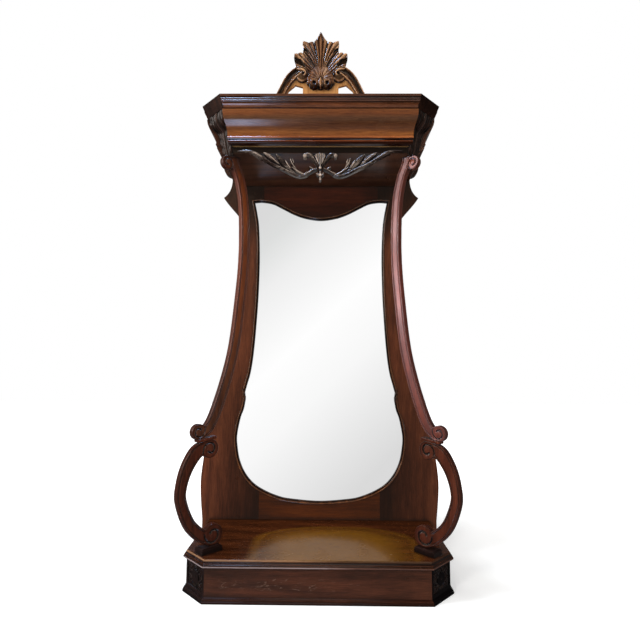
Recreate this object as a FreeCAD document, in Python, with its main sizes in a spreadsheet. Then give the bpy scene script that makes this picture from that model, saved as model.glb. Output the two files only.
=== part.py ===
import FreeCAD, Part
import math
import os
import re
import Sketcher

# Victorian wall mirror with a canted plinth and shelf below, a canted canopy above, and a scrolled
# support at each corner between them. Millimetres. X runs to the right, Z up, and -Y is the front.
# Every outline is drawn with y = 0 at the front of the plinth, and the finished pieces are moved back
# by origin_depth, so the origin lies on the floor under the middle of the whole mirror.

V = FreeCAD.Vector
doc = FreeCAD.newDocument("WallMirror")
sheet = doc.addObject("Spreadsheet::Sheet", "Sizes")

SIZES = [
    ("base_width", 760, "plinth moulding and shelf lip, side to side"),
    ("base_depth", 332, "plinth and shelf, front to the face of the back frame"),
    ("base_cant", 72, "each way, at the canted corners of plinth and shelf"),
    ("plinth_height", 91, "plinth boards"),
    ("plinth_setback", 9, "plinth boards behind the moulding"),
    ("plinth_thickness", 19, "plinth boards"),
    ("base_moulding_height", 13, "moulding round the foot"),
    ("glue_block_leg", 26, "glue blocks in the plinth corners"),
    ("panel_border", 9, "plain border round the sunk panel on each canted board"),
    ("panel_sink", 3, "depth of the sunk panel"),
    ("rosette_diameter", 34, "boss in the sunk panel"),
    ("shelf_thickness", 19, "shelf board"),
    ("shelf_edge_depth", 10, "depth of the moulded shelf edge"),
    ("ear_overhang", 25, "ears of the back frame beyond the base, each side"),
    ("frame_thickness", 22, "back frame boards"),
    ("joint_inset", 175, "upright joints of the back frame in from the sides of the base"),
    ("sight_margin", 95, "mirror plate in sight, in from the sides of the base"),
    ("sight_foot", 60, "shelf up to the lowest point of the plate in sight"),
    ("sight_head", 59.5, "highest point of the plate in sight up to the canopy"),
    ("bead_width", 10, "mirror bead, across its face"),
    ("bead_inset", 6, "mirror bead inside the frame opening"),
    ("bead_stand", 3, "mirror bead in front of the frame"),
    ("glass_thickness", 5, "mirror plate"),
    ("backboard_thickness", 7, "mirror backboard"),
    ("glass_play", 0.2, "round the bead, plate and backboard in the opening"),
    ("backboard_block_length", 40, "blocks behind the backboard"),
    ("soffit_rise", 1165, "shelf to the underside of the canopy"),
    ("soffit_thickness", 19, "board under the canopy"),
    ("soffit_setback", 70, "edge of that board behind the crown"),
    ("canopy_inset", 15, "crown moulding in from the sides of the base"),
    ("canopy_cant", 69, "each way, at the canted corners of the canopy"),
    ("cornice_bead_height", 13, "bead moulding under the ogee"),
    ("cornice_bead_setback", 44, "front of the bead behind the crown"),
    ("ogee_height", 82, "ogee moulding"),
    ("ogee_setback", 14, "front of the ogee behind the crown"),
    ("ogee_depth", 30, "from the front of the ogee in to its foot"),
    ("crown_height", 35, "crown moulding"),
    ("crown_overhang", 22, "front of the crown out from its foot"),
    ("corbel_drop", 7, "tip of the carved leaf on each cant, below the canopy"),
    ("canopy_board_setback", 62, "face of the boards that carry the mouldings"),
    ("canopy_board_thickness", 20, "those boards"),
    ("top_board_thickness", 18, "board over the canopy"),
    ("top_board_setback", 26, "edge of that board behind the crown"),
    ("valance_margin", 100, "tips of the carved valance in from the sides of the canopy"),
    ("valance_drop", 89, "its pendant below the canopy"),
    ("valance_setback", 72, "its face behind the crown"),
    ("valance_thickness", 14, "its thickness"),
    ("arm_thickness", 18, "scrolled supports, across the plate"),
    ("arm_width", 30, "upper arm, seen from the side"),
    ("scroll_width", 36, "lower scroll at its widest ends"),
    ("collar_length", 60, "collar between arm and scroll"),
    ("collar_width", 24, "its width"),
    ("collar_thickness", 8, "its thickness"),
    ("collar_round", 2, "radius on its edges"),
    ("pad_length", 64, "foot pad of each support"),
    ("pad_width", 40, "its width"),
    ("pad_height", 16, "its height"),
    ("pad_bevel", 4, "bevel round its top"),
    ("dowel_diameter", 8, "dowels in the supports"),
    ("dowel_grip", 15, "each dowel into each piece that it joins"),
    ("dowel_play", 0.1, "between dowel and bore, on the radius"),
    ("crest_width", 294, "crest at its feet"),
    ("crest_height", 223, "crest above its foot"),
    ("crest_setback", 66, "face of the crest's backing plate behind the crown"),
    ("crest_plate_thickness", 8, "backing plate"),
    ("crest_carving_thickness", 14, "shell and scrolls in front of it"),
    ("crest_foot_height", 10, "foot under the crest"),
    ("crest_foot_depth", 36, "foot, front to back"),
    ("shell_dome_height", 10, "swell of the shell's hinge"),
    ("shell_dome_diameter", 68, "its width"),
    ("flute_diameter", 9, "flutes of the shell"),
    ("wall_plate_inset", 130, "middle of each wall plate in from the sides of the base"),
    ("wall_plate_width", 38, "wall plate"),
    ("wall_plate_height", 104, "wall plate"),
    ("wall_plate_thickness", 3, "wall plate"),
    ("wall_plate_rise", 38, "wall plate above the canopy"),
    ("wall_hole_diameter", 5.4, "its hole for the wall screw"),
    ("plate_screw_diameter", 4, "screws that hold the wall plates"),
    ("plate_screw_length", 17, "their length under the head"),
    ("plate_screw_pitch", 26, "between the two in each plate"),
    ("frame_screw_diameter", 5, "screws through the back frame"),
    ("frame_screw_length", 48, "their length under the head"),
    ("stile_screw_offset", 30, "outer frame screws beyond the upright joints"),
    ("screw_head_diameter", 9, "heads of all the screws"),
    ("screw_head_height", 3, "heads of all the screws"),
    ("cut_overrun", 5, "how far every cutter passes the face that it cuts"),
]

DERIVED = [
    ("mitre_share", "0.41421356"),
    ("diagonal_share", "0.70710678"),
    ("canopy_width", "base_width - 2 * canopy_inset"),
    ("frame_width", "base_width + 2 * ear_overhang"),
    ("joint_spacing", "base_width - 2 * joint_inset"),
    ("sight_width", "base_width - 2 * sight_margin"),
    ("sight_height", "soffit_rise - sight_foot - sight_head"),
    ("valance_width", "canopy_width - 2 * valance_margin"),
    ("wall_plate_spacing", "base_width - 2 * wall_plate_inset"),
    ("shelf_top", "plinth_height + shelf_thickness"),
    ("sight_base", "shelf_top + sight_foot"),
    ("soffit_height", "shelf_top + soffit_rise"),
    ("soffit_top", "soffit_height + soffit_thickness"),
    ("ogee_base", "soffit_top + cornice_bead_height"),
    ("crown_base", "ogee_base + ogee_height"),
    ("canopy_top", "crown_base + crown_height"),
    ("corbel_height", "crown_base - soffit_height + corbel_drop"),
    ("frame_height", "canopy_top - top_board_thickness"),
    ("frame_back", "base_depth + frame_thickness"),
    ("plinth_inner", "plinth_setback + plinth_thickness"),
    ("canopy_board_inner", "canopy_board_setback + canopy_board_thickness"),
    ("base_front", "base_width / 2 - base_cant"),
    ("canopy_front", "canopy_width / 2 - canopy_cant"),
    ("arm_line", "(base_width + canopy_width) / 4"),
    ("shelf_reach", "base_front * diagonal_share - shelf_edge_depth"),
    ("soffit_reach", "canopy_front * diagonal_share - soffit_setback"),
    ("plate_back", "frame_back - wall_plate_thickness"),
    ("crest_base", "canopy_top + crest_foot_height"),
    ("scroll_reach", "0"),
    ("origin_depth", "(frame_back + arm_line / 2 - (scroll_reach + arm_thickness / 2) * diagonal_share) / 2"),
]

NAMES = [row[0] for row in SIZES + DERIVED]
for number, row in enumerate(SIZES, start=1):
    sheet.set("A%d" % number, row[0])
    sheet.set("B%d" % number, str(row[1]))
    sheet.set("C%d" % number, row[2])
    sheet.setAlias("B%d" % number, row[0])
for number, row in enumerate(DERIVED, start=len(SIZES) + 1):
    sheet.set("A%d" % number, row[0])
    sheet.setAlias("B%d" % number, row[0])
    sheet.set("B%d" % number, "=" + row[1])
doc.recompute()


def size(name):
    """A size as a number, for the shapes that are made with functions."""
    return float(sheet.get(name))


def linked(text):
    """An expression that names sizes, as other objects of the document read it."""
    return re.sub(r"\b(%s)\b" % "|".join(NAMES), r"Sizes.\1", text)


def value(text):
    """The value of such an expression."""
    return float(sheet.evalExpression(linked(text)))


PARTS = []


def finish_piece(piece, place=None, turn=0, tilt=0):
    """Turn a piece about Z, put it at its place, and count it among the pieces of the mirror."""
    place = place or ("0", "0", "0")
    spin = FreeCAD.Rotation(V(0, 0, 1), turn).multiply(FreeCAD.Rotation(V(0, 1, 0), tilt))
    piece.Placement = FreeCAD.Placement(V(0, 0, 0), spin)
    piece.setExpression(".Placement.Base.x", linked(place[0]))
    piece.setExpression(".Placement.Base.y", linked("%s - origin_depth" % place[1]))
    piece.setExpression(".Placement.Base.z", linked(place[2]))
    PARTS.append(piece)
    return piece


def feature(label, shape, **placing):
    """A piece whose shape comes from the functions below."""
    piece = doc.addObject("Part::Feature", label)
    piece.Shape = shape
    return finish_piece(piece, **placing)


# Sketches and bodies

def origin_plane(body, role):
    return [item for item in body.Origin.OriginFeatures if item.Role == role][0]


def new_sketch(body, name, role="XY_Plane", lift="0"):
    """A sketch on one of the body's planes, lifted off it along its normal."""
    sketch = body.newObject("Sketcher::SketchObject", name)
    sketch.AttachmentSupport = (origin_plane(body, role), [""])
    sketch.MapMode = "FlatFace"
    sketch.setExpression(".AttachmentOffset.Base.z", linked(lift))
    return sketch


def pin(sketch, kind, edge, point, text):
    """Hold one coordinate of a sketch point at the value of an expression."""
    if text == "0":
        axis = -2 if kind == "DistanceX" else -1
        sketch.addConstraint(Sketcher.Constraint("PointOnObject", edge, point, axis))
        return
    amount = value(text)
    if amount < 0:
        number = sketch.addConstraint(Sketcher.Constraint(kind, edge, point, -1, 1, -amount))
        sketch.setExpression("Constraints[%d]" % number, linked("-(%s)" % text))
    else:
        number = sketch.addConstraint(Sketcher.Constraint(kind, -1, 1, edge, point, amount))
        sketch.setExpression("Constraints[%d]" % number, linked(text))


def draw_polygon(sketch, corners):
    """A closed polygon whose corners are pairs of expressions."""
    spots = [V(value(x), value(y), 0) for x, y in corners]
    first = sketch.GeometryCount
    count = len(spots)
    for i in range(count):
        sketch.addGeometry(Part.LineSegment(spots[i], spots[(i + 1) % count]))
    for i in range(count):
        sketch.addConstraint(Sketcher.Constraint("Coincident", first + i, 2, first + (i + 1) % count, 1))
    for i, (x, y) in enumerate(corners):
        pin(sketch, "DistanceX", first + i, 1, x)
        pin(sketch, "DistanceY", first + i, 1, y)


def draw_circle(sketch, x, y, diameter):
    spot = V(value(x), value(y), 0)
    edge = sketch.addGeometry(Part.Circle(spot, V(0, 0, 1), value(diameter) / 2))
    pin(sketch, "DistanceX", edge, 3, x)
    pin(sketch, "DistanceY", edge, 3, y)
    number = sketch.addConstraint(Sketcher.Constraint("Diameter", edge, value(diameter)))
    sketch.setExpression("Constraints[%d]" % number, linked(diameter))


def padded(label, corners, thickness, lift="0", role="XY_Plane"):
    """A body: a polygon padded to a thickness."""
    body = doc.addObject("PartDesign::Body", label)
    sketch = new_sketch(body, label + "_outline", role, lift)
    draw_polygon(sketch, corners)
    pad = body.newObject("PartDesign::Pad", label + "_pad")
    pad.Profile = sketch
    pad.setExpression("Length", linked(thickness))
    sketch.Visibility = False
    doc.recompute()
    return body


def drilled(body, name, centres, diameter, depth, role="XY_Plane", lift="0"):
    """Round holes in a body, cut along the normal of a plane, with a check that they took some away."""
    before = body.Shape.Volume
    sketch = new_sketch(body, name + "_centres", role, lift)
    for x, y in centres:
        draw_circle(sketch, x, y, diameter)
    pocket = body.newObject("PartDesign::Pocket", name)
    pocket.Profile = sketch
    pocket.setExpression("Length", linked(depth))
    pocket.Reversed = True
    sketch.Visibility = False
    doc.recompute()
    if body.Shape.Volume >= before:
        raise RuntimeError(name + " cut nothing")
    return body


def mirrored(corners):
    """The corners of the left-hand piece from those of the right-hand one."""
    return [("-(%s)" % x, y) for x, y in corners]


# Curves and solids

def spline(points):
    curve = Part.BSplineCurve()
    curve.interpolate(points)
    return curve.toShape()


def closed_outline(rows):
    """A wire through rows of (point, corner): smooth runs between the corners, straight where only two meet."""
    start = [i for i, row in enumerate(rows) if row[1]][0]
    ring = rows[start:] + rows[:start] + [rows[start]]
    edges = []
    run = [ring[0][0]]
    for point, corner in ring[1:]:
        run.append(point)
        if corner:
            edges.append(spline(run) if len(run) > 2 else Part.makeLine(run[0], run[1]))
            run = [point]
    return Part.Wire(edges)


def upright(wire, front, back):
    """A solid from a wire drawn in the XZ plane, between two depths."""
    outline = wire.copy()
    outline.translate(V(0, front, 0))
    return Part.Face(outline).extrude(V(0, back - front, 0))


def polygon_xz(spots):
    points = [V(x, 0, z) for x, z in spots]
    return Part.makePolygon(points + [points[0]])


def box(x0, x1, y0, y1, z0, z1):
    return Part.makeBox(x1 - x0, y1 - y0, z1 - z0, V(x0, y0, z0))


def disc(x, z, radius, front, back):
    return Part.makeCylinder(radius, back - front, V(x, front, z), V(0, 1, 0))


def band(rows, front, back):
    """A flat ribbon along rows of (x, z, width), between two depths."""
    left = []
    right = []
    for i, (x, z, width) in enumerate(rows):
        x0, z0 = rows[max(i - 1, 0)][:2]
        x1, z1 = rows[min(i + 1, len(rows) - 1)][:2]
        along = V(x1 - x0, 0, z1 - z0).normalize()
        across = V(-along.z, 0, along.x).multiply(width / 2)
        left.append(V(x, 0, z).add(across))
        right.append(V(x, 0, z).sub(across))
    edges = [spline(left), Part.makeLine(left[-1], right[-1]), spline(right), Part.makeLine(right[0], left[0])]
    return upright(Part.Wire(Part.sortEdges(edges)[0]), front, back)


def one_solid(shape):
    """The single solid in a shape that booleans made."""
    solids = shape.removeSplitter().Solids
    if len(solids) != 1:
        raise RuntimeError("expected one solid and found %d" % len(solids))
    return solids[0]


def fused(shapes):
    return shapes[0].fuse(shapes[1:])


def left_hand(shape):
    return shape.mirror(V(0, 0, 0), V(1, 0, 0))


# Canted plans and mitred mouldings

def canted_plan(half, cant, back, inset):
    """Corners of a canted plan at an inset, from the left back corner round the front to the right back one."""
    front = half - cant - inset * size("mitre_share")
    side = cant + inset * size("mitre_share")
    edge = half - inset
    return [(-edge, back), (-edge, side), (-front, inset), (front, inset), (edge, side), (edge, back)]


def base_plan(inset):
    return canted_plan(size("base_width") / 2, size("base_cant"), size("base_depth"), inset)


def canopy_plan(inset):
    return canted_plan(size("canopy_width") / 2, size("canopy_cant"), size("base_depth"), inset)


SIDES = ("side_left", "cant_left", "front", "cant_right", "side_right")


def profile_face(rows):
    """A face in the XZ plane from rows: (x, z) is joined by a line, (x, z, x, z) by an arc through a point."""
    here = V(rows[0][0], 0, rows[0][1])
    first = here
    edges = []
    for row in rows[1:]:
        end = V(row[-2], 0, row[-1])
        if len(row) == 2:
            edges.append(Part.makeLine(here, end))
        else:
            edges.append(Part.Arc(here, V(row[0], 0, row[1]), end).toShape())
        here = end
    edges.append(Part.makeLine(here, first))
    return Part.Face(Part.Wire(edges))


def mitred_run(rows, plan, side):
    """A length of moulding along one side of a plan: x in the rows is the inset and z the height."""
    face = profile_face(rows)
    bounds = face.BoundBox
    spare = size("cut_overrun")
    near = plan(bounds.XMin - spare)
    far = plan(bounds.XMax + spare)
    number = SIDES.index(side)
    start, end = [V(x, y, 0) for x, y in plan(0)[number:number + 2]]
    along = end.sub(start).normalize()
    inward = V(-along.y, along.x, 0)
    turn = FreeCAD.Rotation(V(1, 0, 0), inward)
    length = end.sub(start).Length + 4 * (bounds.XMax + spare)
    bar = face.extrude(V(0, length, 0))
    bar.translate(V(0, -length / 2, 0))
    bar.Placement = FreeCAD.Placement(start.add(end).multiply(0.5), turn).multiply(bar.Placement)
    plot = [near[number], near[number + 1], far[number + 1], far[number]]
    corners = [V(x, y, bounds.ZMin - spare) for x, y in plot]
    wedge = Part.Face(Part.makePolygon(corners + [corners[0]])).extrude(V(0, 0, bounds.ZLength + 2 * spare))
    return one_solid(bar.common(wedge))


def scaled_rows(rows, x0, x_size, z0, z_size):
    """A table of shares as real insets and heights."""
    return [tuple((x0 + number * x_size) if i % 2 == 0 else (z0 + number * z_size)
                  for i, number in enumerate(row)) for row in rows]


# Scrolled supports. Each is drawn in its own upright plane: x runs out towards the canted corner and is
# a share of the reach at that height, which goes from the shelf's edge up to the soffit's edge.

UPPER_ARM_SHARES = [
    (0.869, 1.010), (0.840, 0.985), (0.686, 0.9485), (0.559, 0.893), (0.494, 0.8155), (0.4735, 0.721),
    (0.514, 0.6206), (0.598, 0.4936), (0.732, 0.4009), (0.884, 0.3262), (0.985, 0.2944), (1.090, 0.2800),
]
LOWER_SCROLL_SHARES = [
    (0.935, 0.2490, 0.86), (1.0115, 0.2480, 1.000), (1.1535, 0.2370, 1.083), (1.279, 0.2026, 0.944),
    (1.3325, 0.1630, 0.806), (1.3175, 0.1305, 0.806), (1.187, 0.0815, 0.861), (1.038, 0.0515, 0.944),
    (0.886, 0.0343, 1.000), (0.800, 0.0330, 0.90),
]
TOP_VOLUTE_SHARES = (1.016, 0.980, 0.70)
MIDDLE_VOLUTE_SHARES = (1.148, 0.2858, 0.733)
SCROLL_HEAD_SHARES = (0.936, 0.243, 0.722)
SCROLL_FOOT_SHARES = (0.794, 0.0378, 0.833)
COLLAR_SHARES = (1.007, 0.2670)
COLLAR_TILT = 6
HEAD_DOWEL_SHARE = 0.869
COLLAR_DOWEL_SHARE = 0.12
PAD_OVERLAP_SHARE = 0.022


def support_point(out_share, up_share):
    reach = size("shelf_reach") + (size("soffit_reach") - size("shelf_reach")) * up_share
    return reach * out_share, size("shelf_top") + size("soffit_rise") * up_share


def support_disc(shares, width):
    x, z = support_point(shares[0], shares[1])
    half = size("arm_thickness") / 2
    return disc(x, z, shares[2] * width, -half, half)


def collar_frame():
    """Where the collar's middle lies in the support's plane, and how it leans."""
    x, z = support_point(*COLLAR_SHARES)
    return FreeCAD.Placement(V(x, 0, z), FreeCAD.Rotation(V(0, 1, 0), COLLAR_TILT))


def collar_side(up):
    """The space above or below the collar, for cutting arm and scroll flat against it."""
    wide = size("soffit_rise")
    half = size("collar_thickness") / 2
    block = box(-wide, wide, -size("pad_width"), size("pad_width"), half, wide)
    if not up:
        block.rotate(V(0, 0, 0), V(0, 1, 0), 180)
    block.Placement = collar_frame().multiply(block.Placement)
    return block


def dowel_axes():
    """Rows of (bottom of dowel, direction) for foot, collar and head of one support."""
    grip = size("dowel_grip")
    foot_x = support_point(SCROLL_FOOT_SHARES[0], SCROLL_FOOT_SHARES[1])[0]
    head_x, head_z = support_point(HEAD_DOWEL_SHARE, 1)
    frame = collar_frame()
    middle = V(size("collar_length") * COLLAR_DOWEL_SHARE, 0, 0)
    half = size("collar_thickness") / 2 + grip
    low = frame.multVec(middle.sub(V(0, 0, half)))
    high = frame.multVec(middle.add(V(0, 0, half)))
    return [
        (V(foot_x, 0, size("shelf_top") - grip), V(foot_x, 0, size("shelf_top") + size("pad_height") + grip)),
        (low, high),
        (V(head_x, 0, head_z - grip), V(head_x, 0, head_z + grip)),
    ]


def dowels(play):
    """The three dowels of one support, or their bores when there is play round them."""
    rods = []
    for low, high in dowel_axes():
        along = high.sub(low)
        rods.append(Part.makeCylinder(size("dowel_diameter") / 2 + play, along.Length, low, along))
    return Part.makeCompound(rods)


def support_placing(right):
    side = "" if right else "-"
    return {"place": (side + "arm_line / 2", "arm_line / 2", "0"), "turn": -45 if right else -135}


def placed_supports(shape):
    """A shape of the support's plane at both sides, in the common frame."""
    copies = []
    for right in (True, False):
        spot = V((1 if right else -1) * size("arm_line") / 2, size("arm_line") / 2, 0)
        turn = FreeCAD.Rotation(V(0, 0, 1), -45 if right else -135)
        copy = shape.copy()
        copy.Placement = FreeCAD.Placement(spot, turn).multiply(copy.Placement)
        copies.append(copy)
    return Part.makeCompound(copies)


half_arm = size("arm_thickness") / 2
bores = dowels(size("dowel_play"))
pad_top = size("shelf_top") + size("pad_height")

scroll_rows = [support_point(out, up) + (wide * size("scroll_width"),) for out, up, wide in LOWER_SCROLL_SHARES]
scroll = fused([
    band(scroll_rows, -half_arm, half_arm),
    support_disc(SCROLL_HEAD_SHARES, size("scroll_width")),
    support_disc(SCROLL_FOOT_SHARES, size("scroll_width")),
])
reach_all = size("shelf_reach") * 3
above_pad = box(-reach_all, reach_all, -reach_all, reach_all, pad_top, pad_top + size("soffit_rise"))
scroll = one_solid(scroll.common(collar_side(False)).common(above_pad).cut(bores))
sheet.set(sheet.getCellFromAlias("scroll_reach"), str(scroll.optimalBoundingBox(False).XMax))
doc.recompute()

arm_rows = [support_point(out, up) + (size("arm_width"),) for out, up in UPPER_ARM_SHARES]
arm = fused([
    band(arm_rows, -half_arm, half_arm),
    support_disc(TOP_VOLUTE_SHARES, size("arm_width")),
    support_disc(MIDDLE_VOLUTE_SHARES, size("arm_width")),
])
below_soffit = box(-reach_all, reach_all, -reach_all, reach_all, size("shelf_top"), size("soffit_height"))
arm = one_solid(arm.common(collar_side(True)).common(below_soffit).cut(bores))


# Plinth

def plan_side(width, cant, back, outer, inner, side):
    """Corners of one board of a canted plan between two insets, as expressions."""
    def corner(inset, which):
        front = "%s / 2 - %s - (%s) * mitre_share" % (width, cant, inset)
        edge = "%s / 2 - (%s)" % (width, inset)
        turn = "%s + (%s) * mitre_share" % (cant, inset)
        return {"front": (front, inset), "turn": (edge, turn), "back": (edge, back)}[which]
    if side == "front":
        near, far = corner(outer, "front"), corner(inner, "front")
        return [("-(%s)" % near[0], near[1]), near, far, ("-(%s)" % far[0], far[1])]
    ends = ("turn", "back")
    return [corner(outer, ends[0]), corner(outer, ends[1]), corner(inner, ends[1]), corner(inner, ends[0])]


BASE = ("base_width", "base_cant", "base_depth")
CANOPY = ("canopy_width", "canopy_cant", "base_depth")

finish_piece(padded("plinth_front", plan_side(*BASE, "plinth_setback", "plinth_inner", "front"), "plinth_height"))
plinth_side = plan_side(*BASE, "plinth_setback", "plinth_inner", "side")
finish_piece(padded("plinth_side_right", plinth_side, "plinth_height"))
finish_piece(padded("plinth_side_left", mirrored(plinth_side), "plinth_height"))

half_outer = "(base_cant * diagonal_share - plinth_setback * mitre_share)"
half_inner = "(base_cant * diagonal_share - plinth_inner * mitre_share)"
cant_corners = [
    ("-%s" % half_outer, "plinth_setback"), (half_outer, "plinth_setback"),
    (half_inner, "plinth_inner"), ("-%s" % half_inner, "plinth_inner"),
]
panel_foot = "base_moulding_height + panel_border"
panel_corners = [
    ("-(%s - panel_border)" % half_outer, panel_foot), ("%s - panel_border" % half_outer, panel_foot),
    ("%s - panel_border" % half_outer, "plinth_height - panel_border"),
    ("-(%s - panel_border)" % half_outer, "plinth_height - panel_border"),
]


def plinth_cant(label, side, turn):
    """A canted plinth board with a sunk panel and a round boss in it, drawn about the middle of its face."""
    body = padded(label, cant_corners, "plinth_height")
    before = body.Shape.Volume
    panel = new_sketch(body, label + "_panel_outline", "XZ_Plane", "-plinth_setback")
    draw_polygon(panel, panel_corners)
    sunk = body.newObject("PartDesign::Pocket", label + "_panel")
    sunk.Profile = panel
    sunk.setExpression("Length", linked("panel_sink"))
    doc.recompute()
    if body.Shape.Volume >= before:
        raise RuntimeError(label + " has no sunk panel")
    ring = new_sketch(body, label + "_boss_outline", "XZ_Plane", "-(plinth_setback + panel_sink)")
    draw_circle(ring, "0", "(plinth_height + base_moulding_height) / 2", "rosette_diameter")
    boss = body.newObject("PartDesign::Pad", label + "_boss")
    boss.Profile = ring
    boss.setExpression("Length", linked("panel_sink"))
    panel.Visibility = False
    ring.Visibility = False
    doc.recompute()
    place = ("%s(base_width / 2 - base_cant / 2)" % side, "base_cant / 2", "0")
    return finish_piece(body, place=place, turn=turn)


plinth_cant("plinth_cant_right", "", 45)
plinth_cant("plinth_cant_left", "-", -45)

plinth_back = doc.addObject("Part::Box", "plinth_back")
plinth_back.setExpression("Length", linked("base_width - 2 * plinth_inner"))
plinth_back.setExpression("Width", linked("plinth_thickness"))
plinth_back.setExpression("Height", linked("plinth_height"))
finish_piece(plinth_back, place=("-(base_width / 2 - plinth_inner)", "base_depth - plinth_thickness", "0"))


def glue_block(number):
    """A three-cornered block in an inner corner of the plinth."""
    corners = [V(x, y, 0) for x, y in base_plan(size("plinth_inner"))]
    here = corners[number]
    legs = [corners[i].sub(here).normalize().multiply(size("glue_block_leg")) for i in (number - 1, number + 1)]
    triangle = Part.makePolygon([here, here.add(legs[0]), here.add(legs[1]), here])
    return Part.Face(triangle).extrude(V(0, 0, size("plinth_height")))


feature("plinth_blocks", Part.makeCompound([glue_block(number) for number in (1, 2, 3, 4)]))

BASE_MOULDING_SHARES = [
    (1.0, 0.0), (0.0, 0.0), (0.0, 0.36), (0.18, 0.40), (0.18, 0.50), (0.27, 0.74, 0.55, 0.82), (0.62, 0.92),
    (1.0, 1.0),
]
base_rows = scaled_rows(BASE_MOULDING_SHARES, 0, size("plinth_setback"), 0, size("base_moulding_height"))
for side in SIDES:
    feature("base_moulding_" + side, mitred_run(base_rows, base_plan, side))

# Shelf

SHELF_EDGE_SHARES = [
    (0.08, 0.0), (0.0, 0.05), (0.0, 0.24), (0.35, 0.26), (0.35, 0.34), (0.45, 0.36), (0.26, 0.455, 0.45, 0.55),
    (0.85, 0.57), (0.85, 0.67), (0.70, 0.69), (0.76, 0.89, 1.0, 1.0),
]
edge_rows = scaled_rows(SHELF_EDGE_SHARES, 0, size("shelf_edge_depth"), size("plinth_height"),
                        size("shelf_thickness"))
edge_back = 2 * size("shelf_edge_depth")
edge_rows = edge_rows + [(edge_back, size("shelf_top")), (edge_back, size("plinth_height"))]
core = [V(x, y, size("plinth_height")) for x, y in base_plan(size("shelf_edge_depth"))]
shelf = Part.Face(Part.makePolygon(core + [core[0]])).extrude(V(0, 0, size("shelf_thickness")))
shelf = fused([shelf] + [mitred_run(edge_rows, base_plan, side) for side in SIDES])


def screw(x, z, diameter, length, back):
    """A flat-headed screw driven forward from the back, with its head let in flush."""
    head = size("screw_head_height")
    shank = Part.makeCylinder(diameter / 2, length, V(x, back, z), V(0, -1, 0))
    cone = Part.makeCone(size("screw_head_diameter") / 2, diameter / 2, head, V(x, back, z), V(0, -1, 0))
    return shank.fuse(cone).removeSplitter()


FRAME_SCREW_SPOTS = (
    "-(joint_spacing / 2 + stile_screw_offset)", "-(joint_spacing / 4)", "0", "joint_spacing / 4",
    "joint_spacing / 2 + stile_screw_offset",
)
frame_screws = []
for height in ("plinth_height + shelf_thickness / 2", "soffit_height + soffit_thickness / 2"):
    for spot in FRAME_SCREW_SPOTS:
        frame_screws.append(screw(value(spot), value(height), size("frame_screw_diameter"),
                                  size("frame_screw_length"), size("frame_back")))
frame_screws = Part.makeCompound(frame_screws)

feature("shelf_board", one_solid(shelf.cut(placed_supports(bores)).cut(frame_screws)))

# Back frame

STILE_SHARES = [
    (0.978, 0.0, True), (0.978, 0.078, True), (0.995, 0.128, False), (1.0, 0.171, False), (0.980, 0.226, False),
    (0.953, 0.279, False), (0.869, 0.356, False), (0.795, 0.427, False), (0.743, 0.491, False),
    (0.696, 0.605, False), (0.672, 0.697, False), (0.669, 0.765, False), (0.689, 0.808, False),
    (0.768, 0.841, False), (0.867, 0.876, True), (0.812, 0.895, False), (0.795, 0.9125, False),
    (0.793, 0.933, True), (0.840, 0.937, False), (0.869, 0.9495, False), (0.872, 0.960, False),
    (0.857, 0.979, False), (0.840, 1.0, True),
]
SIGHT_SHARES = [
    (0.0, 0.0, "smooth"), (0.351, 0.007, "smooth"), (0.505, 0.016, "smooth"), (0.667, 0.034, "smooth"),
    (0.793, 0.056, "smooth"), (0.893, 0.088, "smooth"), (0.961, 0.128, "smooth"), (0.993, 0.172, "smooth"),
    (1.0, 0.209, "smooth"), (0.965, 0.263, "smooth"), (0.926, 0.294, "smooth"), (0.904, 0.327, "notch"),
    (0.914, 0.350, "notch"), (0.889, 0.376, "smooth"), (0.854, 0.411, "smooth"), (0.825, 0.462, "smooth"),
    (0.802, 0.532, "smooth"), (0.786, 0.598, "smooth"), (0.774, 0.660, "smooth"), (0.767, 0.725, "smooth"),
    (0.765, 0.813, "smooth"), (0.779, 0.909, "smooth"), (0.802, 0.955, "smooth"), (0.825, 0.987, "smooth"),
    (0.835, 0.9985, "corner"), (0.740, 1.0, "smooth"), (0.607, 0.994, "smooth"), (0.484, 0.9775, "smooth"),
    (0.337, 0.957, "smooth"), (0.189, 0.943, "smooth"), (0.0, 0.936, "smooth"),
]


def sight_rows(grow):
    """Rows of (point, corner) round the mirror plate, moved out by a distance; the notch stays on the plate."""
    half = size("sight_width") / 2
    rise = size("sight_height")
    right = [(V(x * half, 0, size("sight_base") + z * rise), kind) for x, z, kind in SIGHT_SHARES
             if grow == 0 or kind != "notch"]
    left = [(V(-point.x, 0, point.z), kind) for point, kind in reversed(right[1:-1])]
    ring = right + left
    rows = []
    for i, (point, kind) in enumerate(ring):
        before = ring[i - 1][0]
        after = ring[(i + 1) % len(ring)][0]
        come = point.sub(before).normalize()
        leave = after.sub(point).normalize()
        if kind == "smooth":
            middle = come.add(leave).normalize()
            out = V(middle.z, 0, -middle.x).multiply(grow)
        else:
            first = V(come.z, 0, -come.x)
            second = V(leave.z, 0, -leave.x)
            out = first.add(second).multiply(grow / (1 + first.dot(second)))
        rows.append((point.add(out), kind != "smooth"))
    return rows


def plate_solid(grow, front, back):
    return upright(closed_outline(sight_rows(grow)), front, back)


frame_front = size("base_depth")
frame_back = size("frame_back")
frame_half = size("frame_width") / 2
over = size("cut_overrun")
opening = plate_solid(size("bead_width"), frame_front - over, frame_back + over)
stile_rows = [(V(x * frame_half, 0, z * size("frame_height")), corner) for x, z, corner in STILE_SHARES]
stile_rows = stile_rows + [(V(0, 0, size("frame_height")), True), (V(0, 0, 0), True)]
half_board = upright(closed_outline(stile_rows), frame_front, frame_back)
joint = size("joint_spacing") / 2
stile = half_board.cut(box(-joint, joint, 0, 2 * frame_back, -over, size("frame_height") + over)).cut(opening)


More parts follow.
